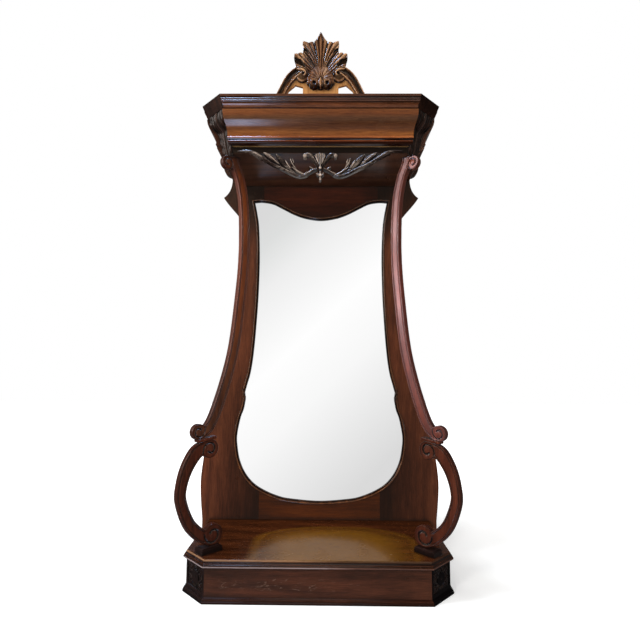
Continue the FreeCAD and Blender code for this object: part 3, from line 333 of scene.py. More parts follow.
carve_support(
    "upper_arm", (45, -11, 415), (285, 11, 1279),
    smooth([support_point(out, up) + (ARM_WIDTH,) for out, up in UPPER_ARM_SHARES]),
    [volute(1.016, 0.98, 0.7 * ARM_WIDTH, 250, -1), volute(1.148, 0.2858, 0.733 * ARM_WIDTH, 150, 1)],
    [((-COLLAR_NORMAL[0], -COLLAR_NORMAL[1]), -(collar_mid + COLLAR_HALF)), ((0, 1), SOFFIT_HEIGHT)])
carve_support(
    "lower_scroll", (118, -11, 122), (292, 11, 430),
    smooth([support_point(out, up) + (width * SCROLL_WIDTH,) for out, up, width in LOWER_SCROLL_SHARES]),
    [volute(0.936, 0.243, 0.722 * SCROLL_WIDTH, -35, 1), volute(0.794, 0.0378, 0.833 * SCROLL_WIDTH, 18, -1)],
    [(COLLAR_NORMAL, collar_mid - COLLAR_HALF), ((0, -1), -PAD_TOP)])


# Carved leaves and bars as separate slabs, joined into one volume

class Carving:
    """Adds carved slabs to one volume; each is as high as its relief above a ground plane at the back."""

    def __init__(self, low, high, cell, ground):
        self.field = Field(low, high, cell)
        self.ground = ground
        self.values = np.full((self.field.x.shape[0], len(self.field.y), self.field.x.shape[1]), 6.0)
        self.top = np.zeros(self.field.x.shape)
        # Wear and painted light over the carving: low values paint shade in hollows, high ones paint
        # highlights on ridges
        self.wear_and_light = np.full(self.field.x.shape, 0.12)

    def add(self, edge, height, edge_round=1.2, wear_and_light=0.3):
        layer = self.field.slab(edge, self.ground - height, self.ground, edge_round)
        self.values = np.minimum(self.values, layer)
        shown = (edge < 0) & (height > self.top)
        self.top = np.where(shown, height, self.top)
        self.wear_and_light = np.where(shown, wear_and_light, self.wear_and_light)

    def ball(self, reach, radius, low, rise, edge_round, wear_and_light=0.3):
        """A rounded boss, from the distances to its middle."""
        self.add(reach - radius, low + rise * half_round(reach / radius), edge_round, wear_and_light)

    def sink(self, edge, height):
        """Cut away what lies inside an outline and stands higher than that, and paint the hollow dark as
        shade.
        """
        y = self.field.y[None, :, None]
        hole = np.maximum(edge[:, None, :], y - (self.ground - height))
        self.values = np.maximum(self.values, -hole)
        self.top = np.where(edge < 0, np.minimum(self.top, height), self.top)
        self.wear_and_light = np.where(edge < 0.6, 0.0, self.wear_and_light)

    def mesh(self):
        points, quads = self.field.mesh(self.values)
        return points, quads, self.field.sample(self.wear_and_light, points)


def reeds(across, count, sharp=0.6):
    """Rounded reeds with sharp valleys between them, 0 to 1, across -1 to 1."""
    return np.abs(np.cos(across * count * math.pi / 2)) ** sharp


# Crest: spear leaf, two pairs of lobes, the domed hinge with its eyes, and the fluted scrolls. Its tables are
# in thousandths of half its width and of its height

HINGE = CREST_BASE + 0.375 * CREST_RISE
CREST_GROUND = 66
BLANK_HEIGHT = 5.5


def crest_line(rows, steps=14):
    """A smooth line through places on the crest, in thousandths: out, up and, for a leaf, its width."""
    return smooth([(x * CREST_HALF, CREST_BASE + z * CREST_RISE, *(width * CREST_HALF for width in rest))
                   for x, z, *rest in np.array(rows) / 1000], steps)


SHELL_SIDE = [
    [(0, 1000), (60, 935), (110, 885), (146, 866)],
    [(146, 866), (215, 852), (300, 848), (376, 862)],
    [(376, 862), (384, 815), (372, 765), (378, 722), (358, 706)],
    [(358, 706), (430, 700), (500, 688), (556, 678)],
    [(556, 678), (562, 625), (540, 570), (524, 530), (478, 496)],
    [(478, 496), (420, 470), (330, 452), (300, 430), (0, 300)],
]
SPEAR_HALF = [(400, 40), (500, 52), (620, 74), (740, 104), (840, 138), (866, 146), (900, 96), (950, 48),
              (1000, 6)]


def fan(x, z, near, far, near_half, far_half):
    """Share across ribs that leave the hinge in a fan and bend outwards, -1 to 1, and the radius."""
    rise = z - (CREST_BASE + 0.32 * CREST_RISE)
    radius = np.hypot(x, rise)
    angle = np.degrees(np.arctan2(x, rise))
    out = np.clip(radius / 120, 0, 1.2) ** 2
    return (angle - near - (far - near) * out) / (near_half + (far_half - near_half) * out), radius


crest = Carving((-86, 38, 1466), (86, 67, 1659), cell_size(0.8), CREST_GROUND)
cx, cz = crest.field.x, crest.field.z
hand = np.abs(cx)
up_share = (cz - CREST_BASE) / CREST_RISE
side_line = np.vstack([crest_line(run, 6)[:-1] for run in SHELL_SIDE])
whole = inside_polygon(np.vstack([side_line, side_line[::-1] * (-1, 1)]), cx, cz)
crest.add(whole, np.full(whole.shape, BLANK_HEIGHT), 0.8)
# Painted light: the shell's leaves are painted lighter to the right and darker to the left, as the light
# falls
lit = np.clip(0.9 + cx / 110, 0.7, 1.05)


def crest_lobe(angles, tip_start, tip_run, count, low, swell, drop, shine, tip_shine, limit, steep):
    """A reeded leaf in the fan, which dips towards its tip and rises again at the very end."""
    flow, radius = fan(hand, cz, *angles)
    tip = unit((radius - tip_start) / tip_run)
    reed = reeds(flow, count, 0.8)
    body = low + swell * half_round(flow) + 4.4 * reed - drop * tip + 3.0 * tip ** 4
    # Painted highlights along the reeds and at the tip, painted shade in the valleys between the reeds
    wear_and_light = lit * (0.02 + shine * reed ** 2 + tip_shine * tip)
    crest.add(np.maximum(whole, (np.abs(flow) - limit) * steep), body, 1.6, wear_and_light)


crest_lobe((42, 44.5, 16, 13), 78, 26, 4, BLANK_HEIGHT, 5.5, 2.6, 0.62, 0.25, 0.97, 14)
# A painted highlight runs along the middle of the lip
lip, _ = fan(hand, cz, 66, 62, 9, 6.5)
crest.add(np.maximum(whole, (np.abs(lip) - 0.95) * 7), 6.5 + 4.5 * half_round(lip), 1.2,
          lit * 0.75 * unit(1 - lip ** 2))
crest_lobe((15.5, 21.5, 6.5, 11.5), 96, 30, 3, 8.5, 4.5, 2.4, 0.68, 0.2, 0.96, 12)
flow = cx / (np.interp(up_share, *np.array(SPEAR_HALF).T / 1000) * CREST_HALF)
reed = reeds(flow, 3, 0.7)
body = 10.5 + 5.0 * half_round(flow) + 4.2 * reed - 2.0 * unit((cz - HINGE) / 140)
# Painted highlights along the spear's reeds, painted shade between them
crest.add(np.maximum(whole, (np.abs(flow) - 0.97) * 7), body, 1.4, 0.02 + 0.6 * reed ** 2)
HOOKS = [
    # rows of (out, up, width) of the undercuts at the lower corners of the lobes, painted dark as shade, then
    # their height
    ([(410, 728, 40), (350, 742, 44), (300, 722, 34), (262, 680, 14)], 5.0),
    ([(560, 600, 80), (500, 582, 110), (440, 566, 100), (385, 530, 56), (310, 470, 18)], 4.0),
]
for rows, height in HOOKS:
    crest.sink(leaf(crest_line(rows, 8), hand, cz)[0], height)

# The hinge: an onion-shaped dome, ribbed from the bud upwards, with a scalloped foot and a curl each side
DOME_HALF = [(192, 160), (205, 215), (232, 255), (280, 285), (345, 280), (420, 225), (490, 150), (550, 85),
             (600, 10)]
DOME_SWELL = [(192, 450), (230, 750), (300, 1000), (400, 800), (500, 520), (600, 400)]
DOME_RIBS = 11
DOME_LOW, DOME_HIGH = 0.192, 0.6
half_width = np.interp(up_share, *np.array(DOME_HALF).T / 1000) * CREST_HALF
swell = np.interp(up_share, *np.array(DOME_SWELL).T / 1000)
bud_height = CREST_BASE + 0.272 * CREST_RISE
spread = np.degrees(np.arctan2(hand, cz - bud_height))
from_bud = np.hypot(cx, cz - bud_height)
rib = reeds(spread / 90 + 1 / DOME_RIBS, DOME_RIBS, 0.8)
near_bud = np.clip(1.35 - from_bud / 46, 0.12, 1)
scallop = reeds(np.degrees(np.arctan2(hand, bud_height + 12 - cz)) / 100, 5, 0.7)
dome_edge = np.maximum((hand - half_width) * 0.8,
                       np.maximum(up_share - DOME_HIGH, DOME_LOW - up_share) * CREST_RISE)
dome_edge = dome_edge + 5.0 * (1 - scallop) * (cz < bud_height + 4)
# A ring round the foot of the dome, painted black as the dome's shadow
crest.add(np.maximum(dome_edge - 2.6, cz - bud_height), np.full(cx.shape, 6.5), 1.2, 0.0)
body = 8.0 + 14.0 * swell * np.sqrt(unit(1.02 - (hand / half_width) ** 2)) + 2.2 * (rib - 0.5) * near_bud
# Painted light on the dome: highlights along its ribs near the bud, painted shade low down
shade = 0.27 + 0.6 * (rib - 0.45) * near_bud - 0.6 * np.clip(0.25 - up_share, 0, 0.06) / 0.06
crest.add(dome_edge, body, 2.4, unit(shade))
eye_x, eye_z, eye_r = 20.0, CREST_BASE + 0.248 * CREST_RISE, 14.0
eye = np.hypot(hand - eye_x, cz - eye_z)
rim = ridge(eye - 9.0, 5.5)
# Each eye's rim has a painted highlight above and painted shade below
crest.add(eye - eye_r, 15.0 + 6.0 * rim, 2.5, 0.08 + 0.55 * rim * unit((cz - eye_z) / 16 + 0.6))
crest.sink(eye - 5.4, 9.0)
BUD = [(9, 3), (3, 11), (-5, 13), (-12, 9), (-17, 3)]
bud, flow = leaf(smooth([(0, bud_height + up, width) for up, width in BUD]), cx, cz)
crest.sink(bud - 1.6, 15.5)
body = 18.5 + 4.0 * half_round(flow) + reeds(cx / 6, 2, 0.7)
crest.add(bud, body, 1.5, 0.3 + 0.55 * reeds(cx / 6, 2, 1.0))
new_piece("carved_shell", *crest.mesh(), "carved_walnut", "crest_shell")

CREST_SCROLL = [(350, 455, 100), (440, 455, 170), (560, 398, 190), (670, 315, 180), (760, 210, 165),
                (830, 115, 160), (905, 0, 170), (930, -40, 170)]
# Rows of (across, height, wear and painted light), from the outside of the scroll in: painted highlights on
# the rims and painted shade in the channel
CHANNEL = [
    (-1.0, 8.0, 0.5), (-0.95, 12.0, 0.8), (-0.84, 14.0, 0.9), (-0.72, 12.5, 0.5), (-0.62, 4.0, 0.0),
    (-0.42, 2.2, 0.0), (0.0, 3.4, 0.05), (0.4, 6.8, 0.35), (0.58, 8.4, 0.5), (0.64, 7.2, 0.05),
    (0.72, 10.6, 0.6), (0.84, 12.2, 0.95), (0.94, 10.5, 0.6), (1.0, 8.0, 0.3),
]
CURL = [(500, 462, 20), (450, 466, 50), (395, 462, 60), (345, 440, 55), (322, 405, 46), (338, 378, 34),
        (362, 376, 18)]
scroll = Carving((36, 50, CREST_BASE), (150, 67, 1556), cell_size(0.8), CREST_GROUND)
sx, sz = scroll.field.x, scroll.field.z
dist, side, _, width = along_line(crest_line(CREST_SCROLL), sx, sz)
across = -side * dist / (width / 2)
at, heights, wear_and_light_levels = np.array(CHANNEL).T
scroll.add(dist - width / 2, np.interp(across, at, heights), 0.8, np.interp(across, at, wear_and_light_levels))
curl_x, curl_z, curl_r = 0.385 * CREST_HALF, CREST_BASE + 0.376 * CREST_RISE, 20.0
reach = np.hypot(sx - curl_x, sz - curl_z)
# The curl's disc is painted dark as shade with a thin painted highlight near its lower rim, and a painted
# highlight runs along the hook over it
scroll.ball(reach, curl_r, 6.5, 4.0, 2.5, 0.04 + 0.4 * ridge(reach - curl_r + 4, 3) * (sz < curl_z - 6))
edge, flow = leaf(crest_line(CURL, 8), sx, sz)
scroll.add(edge, 9.0 + 5.0 * half_round(flow), 1.2, 0.95 * unit(1 - flow ** 2))
scroll.sink(np.hypot(sx - 0.362 * CREST_HALF, sz - CREST_BASE - 0.41 * CREST_RISE) - 4.2, 3.0)
both_hands("carved_crest_scroll", *scroll.mesh(), "carved_walnut", "crest_scroll")


# Valance: leafy branches each side of a bell, with a pendant, in thousandths of its reach and of its drop

VALANCE_REACH = 265
VALANCE_DROP = 89
VALANCE_GROUND = 86
VALANCE_LIFT = 4.0
VALANCE_LEAVES = [
    # rows of (out, down, width), then the height of the leaf, its reeds and the strength of the painted
    # highlights on them
    ([(950, -50, 40), (905, -69, 80), (850, -66, 100), (784, -37, 110), (727, 48, 120), (676, 140, 110),
      (626, 236, 100), (569, 350, 90), (498, 455, 90), (404, 590, 90), (340, 690, 90), (276, 775, 90),
      (211, 808, 80), (150, 770, 50)], 18.5, 2, 0.55),
    ([(645, 10, 50), (598, 91, 130), (548, 208, 160), (505, 325, 110), (469, 421, 40)], 19.5, 3, 1.0),
    ([(505, 60, 60), (455, 229, 180), (404, 411, 180), (347, 592, 140), (290, 730, 60)], 18.0, 4, 0.5),
    ([(400, 290, 30), (384, 370, 80), (368, 450, 90), (342, 560, 50)], 21.0, 1, 1.0),
    ([(345, 215, 40), (337, 290, 90), (322, 390, 110), (296, 510, 80), (272, 620, 40)], 20.5, 2, 1.0),
    ([(318, 235, 30), (310, 300, 60), (302, 380, 50)], 20.0, 1, 1.0),
    ([(322, 520, 50), (283, 613, 90), (240, 699, 110), (197, 770, 100), (165, 795, 40)], 20.0, 2, 0.9),
    ([(200, 795, 50), (154, 722, 80), (111, 656, 70), (75, 603, 60), (40, 560, 50)], 18.5, 1, 0.8),
    ([(122, 500, 40), (106, 545, 70), (78, 585, 50)], 19.5, 1, 0.9),
    ([(180, 150, 50), (176, 90, 90), (150, 42, 110), (118, 60, 110), (88, 150, 110), (60, 260, 100),
      (38, 380, 80), (18, 485, 50)], 19.0, 2, 0.55),
    ([(62, 110, 30), (46, 190, 60), (30, 300, 60), (16, 420, 40)], 21.5, 1, 1.0),
    ([(30, 700, 30), (36, 745, 60), (18, 780, 40)], 17.0, 1, 0.8),
]
VALANCE_BELL = [(0, 0), (48, 30), (54, 140), (38, 320), (18, 460), (0, 500)]
BALLS = [(545, 62, 20.0), (680, 40, 16.0), (775, 70, 16.5), (860, 30, 14.5), (930, 46, 16.0)]
valance = Carving((-268, 57, 1185), (268, 87, 1284), cell_size(0.8), VALANCE_GROUND)
vx, vz = np.abs(valance.field.x), valance.field.z


def hung(*thousandths):
    """A place on the valance, how far out and how far down, and a leaf's width, in millimetres."""
    out, down, *width = np.array(thousandths) / 1000
    x, z = out * VALANCE_REACH, SOFFIT_HEIGHT - down * VALANCE_DROP
    return (x, z, *(share * VALANCE_DROP for share in width))


for rows, height, count, shine in VALANCE_LEAVES:
    edge, flow = leaf(smooth([hung(*row) for row in rows], 7), vx, vz)
    reed = reeds(flow, count, 0.9)
    body = VALANCE_LIFT + height - 9.0 + 7.0 * half_round(flow) + 2.4 * reed
    # Painted highlights along the reeds of each leaf, fading to painted shade at its edges
    valance.add(edge, body, 1.4, 0.05 + 0.8 * shine * reed * unit(1.2 - np.abs(flow)))
valance.ball(disc_at(hung(176, 105), 0, vx, vz), 6.0, VALANCE_LIFT + 17.0, 3.5, 1.5, 0.7)
bell = smooth([hung(*row) for row in VALANCE_BELL], 5)
bell = inside_polygon(np.vstack([bell, bell[::-1] * (-1, 1)]), valance.field.x, vz)
reed = reeds(valance.field.x / 15, 5, 0.8)
# Painted highlights on the reeds of the bell and, below, on the tops of the balls
valance.add(bell, VALANCE_LIFT + 13.5 + 2.2 * reed, 2.0, 0.02 + 0.8 * reed ** 2)
for down, share, height in BALLS:
    reach = disc_at(hung(0, down), 0, vx, vz)
    radius = share / 1000 * VALANCE_DROP
    valance.ball(reach, radius, VALANCE_LIFT + height - 5.0, 5.0, 1.6, unit(1.1 - (reach / radius) ** 2))
new_piece("carved_valance", *valance.mesh(), "carved_walnut", "valance_carving")


# Leaf corbels on the cants of the canopy, drawn across the cant (x), into it (y) and up (z)

CORBEL_FACE = [(1268, 66), (1288, 59), (1313, 53), (1326, 49.4), (1340, 46), (1347.3, 39.2), (1354.5, 30.1),
               (1367.2, 21), (1378, 18), (1389, 17)]
CORBEL_BACK = 82
STEP_BACK = 70
MITRE_SLOPE, MITRE_SQUARE = 0.41421, 0.92388
field = Field((-52, 10, 1266), (52, 84, 1391), cell_size(1.0))
table = smooth(CORBEL_FACE, 8)
face = np.interp(field.z, table[:, 0], table[:, 1])
middle = 0.5 * math.sqrt(2) * CANOPY_CANT
share = field.x / (middle - MITRE_SLOPE * face)
out = np.abs(share)
climb = (field.z - CORBEL_BASE) / (CROWN_BASE - CORBEL_BASE)
lobe = np.cos((climb * 4.6 - out * 0.85) * 2 * math.pi)
rib = unit(1 - out / 0.16) ** 0.7
relief = -2.4 + 2.6 * rib + 1.5 * reeds(share, 7, 0.7) + 1.1 * lobe * unit(out * 1.6 - 0.2)
relief = relief - 2.6 * unit(out - 0.72) * (1 - lobe)
front = face - relief
y = field.y[None, :, None]
values = np.maximum((front[:, None, :] - y) / field.slope(front), y - CORBEL_BACK)
values = np.maximum(values, (np.abs(field.x)[:, None, :] - (middle - MITRE_SLOPE * y)) * MITRE_SQUARE)
values = np.maximum(values, np.maximum(CORBEL_BASE - field.z, field.z - CROWN_BASE)[:, None, :])
values = np.maximum(values, np.minimum(y - STEP_BACK, CORNICE_BASE - field.z[:, None, :]))
points, quads = field.mesh(values)
spot = (CANOPY_WIDTH / 2 - CANOPY_CANT / 2, CANOPY_CANT / 2)
# Painted highlights on the raised ribs and lobes of the corbels, and painted shade in their hollows
wear_and_light = field.sample(unit(0.1 + 0.14 * (relief + 2.4) ** 1.5 / 2), points)
both_hands("carved_corbel", turned(points, spot, 45), quads, wear_and_light, "carved_walnut", "corbel")


# Carved foliage in the sunk panels of the canted plinth boards

PANEL_HALF = 38.2
PANEL_LOW, PANEL_HIGH = 22, 82
PANEL_GROUND = 12.6
PANEL_LEAVES = [
    [(12, 13, 3), (19, 20, 7), (27, 22, 7), (33, 17, 6), (32, 11, 4)],
    [(14, 9, 2), (22, 9, 7), (29, 4, 5), (35, 0, 3)],
    [(8, 17, 2), (6, 23, 6), (0, 27, 4)],
    [(27, 22, 4), (33, 26, 5), (37, 29, 1)],
]
panel = Carving((-40, 6, 20), (40, 14, 84), cell_size(0.7), PANEL_GROUND)
px, pz = panel.field.x, panel.field.z - (PANEL_LOW + PANEL_HIGH) / 2
frame_edge = np.maximum(np.abs(px) - PANEL_HALF, np.abs(pz) - (PANEL_HIGH - PANEL_LOW) / 2)
panel.add(frame_edge, 0.7 + 0.25 * np.sin(px * 2.1) * np.sin(pz * 2.3), 0.0)
ax, az = np.abs(px), np.abs(pz)
ring = np.hypot(px, pz)
petals = np.abs(np.cos(np.arctan2(pz, px) * 3)) ** 0.6
panel.add(ring - 11 - 5.5 * petals, 1.6 + 1.7 * petals * unit(ring / 9), 1.2)
panel.ball(ring, 5.0, 2.0, 2.3, 1.0)
for rows in PANEL_LEAVES:
    edge, flow = leaf(smooth(rows, 8), ax, az)
    panel.add(edge, 1.4 + 1.5 * half_round(flow) + 0.7 * reeds(flow, 2), 0.9)
panel.ball(np.hypot(ax - 27, az - 14.5), 4.2, 1.5, 2.0, 0.8)
points, quads, wear_and_light = panel.mesh()
spot = (BASE_WIDTH / 2 - BASE_CANT / 2, BASE_CANT / 2)
both_hands("carved_panel", turned(points, spot, 45), quads, wear_and_light, "plinth_walnut")


# Bead round the mirror plate: a rounded profile swept along the line of the plate in sight, which is drawn in
# thousandths of half its width and of its height

SIGHT_SHARES = [(0, 0), (351, 7), (505, 16), (667, 34), (793, 56), (893, 88), (961, 128), (993, 172),
                (1000, 209), (965, 263), (926, 294), (904, 327), (914, 350), (889, 376), (854, 411),
                (825, 462), (802, 532), (786, 598), (774, 660), (767, 725), (765, 813), (779, 909),
                (802, 955), (825, 987), (835, 998.5), (740, 1000), (607, 994), (484, 977.5), (337, 957),
                (189, 943), (0, 936)]
SIGHT_CORNERS = (11, 12, 24)
# Rows of (out, depth, wear and painted light), with a painted highlight along the front of the bead
BEAD_PROFILE = [
    (0.0, 6.0, 0.0), (0.0, 2.6, 0.0), (0.4, 1.4, 0.1), (1.4, 0.9, 0.3), (2.4, 1.7, 0.1), (3.0, 2.2, 0.0),
    (3.4, 0.8, 0.0), (4.6, -1.6, 0.3), (6.4, -2.9, 0.8), (8.0, -2.9, 0.8), (9.4, -1.4, 0.4), (9.8, 0.4, 0.1),
    (9.8, 6.0, 0.0),
]


def sight_line():
    """Points round the plate, in a smooth line from corner to corner."""
    half = [(x * SIGHT_WIDTH / 2, SIGHT_BASE + z * SIGHT_HEIGHT, i in SIGHT_CORNERS)
            for i, (x, z) in enumerate(np.array(SIGHT_SHARES) / 1000)]
    ring = half + [(-x, z, corner) for x, z, corner in reversed(half[1:-1])]
    first = SIGHT_CORNERS[0]
    ring = np.array(ring[first:] + ring[:first + 1])
    ends = np.flatnonzero(ring[:, 2])
    runs = [ring[a:b + 1, :2] for a, b in zip(ends, ends[1:])]
    return np.vstack([(smooth(run, 8) if len(run) > 2 else run)[:-1] for run in runs])


spots = sight_line()
count = len(spots)
leave = np.roll(spots, -1, axis=0) - spots
leave /= np.linalg.norm(leave, axis=1)[:, None]
second = np.stack([leave[:, 1], -leave[:, 0]], 1)
first = np.roll(second, 1, axis=0)
outward = (first + second) / (1 + (first * second).sum(1))[:, None]
rings = []
for out, depth, _ in BEAD_PROFILE:
    moved = spots + outward * out
    rings.append(np.stack([moved[:, 0], np.full(count, BASE_DEPTH + depth), moved[:, 1]], 1))
points = np.vstack(rings)
faces = []
for k in range(len(BEAD_PROFILE)):
    a, b = k * count, (k + 1) % len(BEAD_PROFILE) * count
    faces += [(a + i, b + i, b + (i + 1) % count, a + (i + 1) % count) for i in range(count)]
wear_and_light = np.repeat([row[2] for row in BEAD_PROFILE], count)
new_piece("plate_bead", points, faces, wear_and_light, "ebonised_wood", "mirror_bead")

# Cusps on the bead where the plate narrows: two leaf ends and two small volutes on each
CUSP_LEAVES = [[(264.5, 498, 2), (262, 508, 5), (260.5, 518, 7)],
               [(267, 549, 2), (264.5, 540, 5), (263, 532, 6)]]
CUSP_VOLUTES = [((261.0, 519), 5.0), ((263.5, 531), 4.4)]
cusp = Carving((248, 324, 494), (276, 334, 552), cell_size(0.6), 333)
ux, uz = cusp.field.x, cusp.field.z
for rows in CUSP_LEAVES:
    edge, flow = leaf(smooth(rows), ux, uz)
    cusp.add(edge, 4.0 + 1.5 * half_round(flow), 1.0)
for middle, radius in CUSP_VOLUTES:
    reach = disc_at(middle, 0, ux, uz)
    body = 5.0 + 2.5 * half_round(reach / radius) - 1.6 * volute_groove(ux, uz, middle, radius, 100, 1)
    cusp.add(reach - radius, body, 1.2)
both_hands("bead_cusp", *cusp.mesh(), "ebonised_wood")


# Materials

def linear(*screen):
    """A colour written as it looks on a screen, 0 to 255."""
    shares = (value / 255 for value in screen)
    return tuple(v / 12.92 if v <= 0.04045 else ((v + 0.055) / 1.055) ** 2.4 for v in shares) + (1.0,)


def dimmed(colour, share):
    return (*(level * share for level in colour[:3]), 1.0)


class Shader:
    """A node tree written as calls."""

    def __init__(self, name, world=None):
        self.material = world or bpy.data.materials.new(name)
        self.material.use_nodes = True
        self.tree = self.material.node_tree
        self.tree.nodes.clear()
        self.out = self.node("OutputWorld" if world else "OutputMaterial")

    def node(self, kind, _links=None, **props):
        made = self.tree.nodes.new("ShaderNode" + kind)
        for key, entry in props.items():
            setattr(made, key, entry)
        for key, entry in (_links or {}).items():
            if isinstance(entry, bpy.types.NodeSocket):
                self.tree.links.new(entry, made.inputs[key])
            else:
                made.inputs[key].default_value = entry
        return made

    def math(self, operation, a, b=0.0):
        return self.node("Math", {0: a, 1: b}, operation=operation).outputs[0]

    def times(self, *factors):
        """The product of any number of values."""
        product = factors[0]
        for factor in factors[1:]:
            product = self.math("MULTIPLY", product, factor)
        return product

    def off(self, value, middle, scale):
        """How far a value lies from a middle one, times a scale."""
        return self.times(self.math("SUBTRACT", value, middle), scale)

    def mix(self, share, a, b, blend="MIX"):
        links = {"Factor": share, "A": a, "B": b}
        return self.node("Mix", links, data_type="RGBA", blend_type=blend).outputs["Result"]

    def tinted(self, colour, tones):
        return self.mix(1.0, colour, tones, "MULTIPLY")

    def shaded(self, colour, shade):
        """A colour made darker or lighter by one value."""
        grey = self.node("CombineColor", {"Red": shade, "Green": shade, "Blue": shade})
        return self.tinted(colour, grey.outputs[0])

    def ramp(self, share, stops):
        made = self.node("ValToRGB", {"Fac": share})
        ramp = made.color_ramp
        while len(ramp.elements) < len(stops):
            ramp.elements.new(0.5)
        for element, (at, colour) in zip(ramp.elements, stops):
            element.position = at
            element.color = colour
        return made.outputs["Color"]

    def span(self, value, low, high, to_low=0.0, to_high=1.0):
        """A value that runs between two limits, brought to other limits and held there."""
        return self.node("MapRange", {"Value": value, "From Min": low, "From Max": high,
                                      "To Min": to_low, "To Max": to_high}).outputs["Result"]

    def band(self, value, start, full, fade, end):
        """1 in a band of values, falling to 0 on each side of it."""
        return self.times(self.span(value, start, full), self.span(value, end, fade))

    def noise(self, vector, scale, detail=4.0, rough=0.55, distortion=0.0):
        return self.node("TexNoise", {"Vector": vector, "Scale": scale, "Detail": detail, "Roughness": rough,
                                      "Distortion": distortion}).outputs["Fac"]

    def place(self):
        return self.node("TexCoord").outputs["Object"]

    def along(self, place, axis):
        return self.node("SeparateXYZ", {"Vector": place}).outputs[axis]

    def worn_and_lit(self):
        """The wear and painted light on a carved piece: 0 in its grooves, painted dark as shade, 1 on its
        rubbed ridges, painted light as highlights.
        """
        return self.node("Attribute", attribute_name="wear_and_light").outputs["Fac"]

    def light_path(self):
        """The kinds of ray, and what the camera sees plainly or through glass."""
        rays = self.node("LightPath").outputs
        return rays, self.math("MAXIMUM", rays["Is Camera Ray"], rays["Is Transmission Ray"])

    def done(self, shader):
        self.tree.links.new(shader.outputs[0], self.out.inputs["Surface"])
        return self.material


GRAIN = {"x": (0, 0, 0), "y": (0, 0, -90), "z": (0, 90, 0), "right": (0, 0, -45), "left": (0, 0, 45)}
BLOTCH = 0.22
WOODS = {
    # the dark, middle and light tones of each wood, as they look on a screen; on carved pieces the light tone
    # is also the colour of the painted highlights on their ridges
    "plinth": ((26, 10, 5), (54, 26, 15), (79, 41, 26)),
    "foot": ((19, 6, 3), (40, 15, 7), (62, 29, 15)),
    "cant": ((10, 4, 4), (22, 10, 9), (38, 18, 16)),
    # The right-hand cant's tones: those of the cant painted far darker, as shade
    "cant_right": ((3, 1, 2), (6, 3, 4), (12, 6, 8)),
    "shelf": ((28, 11, 4), (60, 28, 11), (88, 45, 20)),
    "frame": ((35, 15, 8), (72, 35, 20), (100, 54, 32)),
    "top_rail": ((18, 6, 3), (40, 14, 7), (61, 25, 12)),
    "bottom_rail": ((31, 11, 1), (61, 24, 3), (85, 39, 8)),
    "soffit": ((28, 13, 8), (55, 32, 21), (78, 47, 31)),
    "cornice": ((74, 38, 17), (122, 71, 34), (162, 102, 53)),
    "cornice_bead": ((58, 24, 6), (102, 46, 14), (138, 68, 25)),
    "cornice_sides": ((30, 13, 6), (60, 29, 14), (84, 45, 24)),
    "crown": ((36, 17, 8), (77, 41, 23), (110, 62, 37)),
    "crown_block": ((8, 3, 2), (24, 10, 6), (44, 23, 15)),
    "corbel": ((11, 6, 5), (34, 19, 14), (64, 42, 34)),
    "valance": ((15, 8, 6), (49, 33, 28), (192, 174, 160)),
    "crest": ((34, 18, 10), (98, 60, 36), (182, 140, 100)),
    "crest_plate": ((136, 90, 50), (180, 126, 74), (206, 156, 100)),
    "arm": ((42, 18, 10), (90, 42, 22), (126, 64, 36)),
    "scroll": ((28, 10, 6), (63, 26, 15), (91, 44, 28)),
    "ebonised": ((20, 10, 7), (44, 23, 15), (104, 66, 40)),
    "pine": ((104, 74, 42), (150, 112, 68), (182, 144, 94)),
}


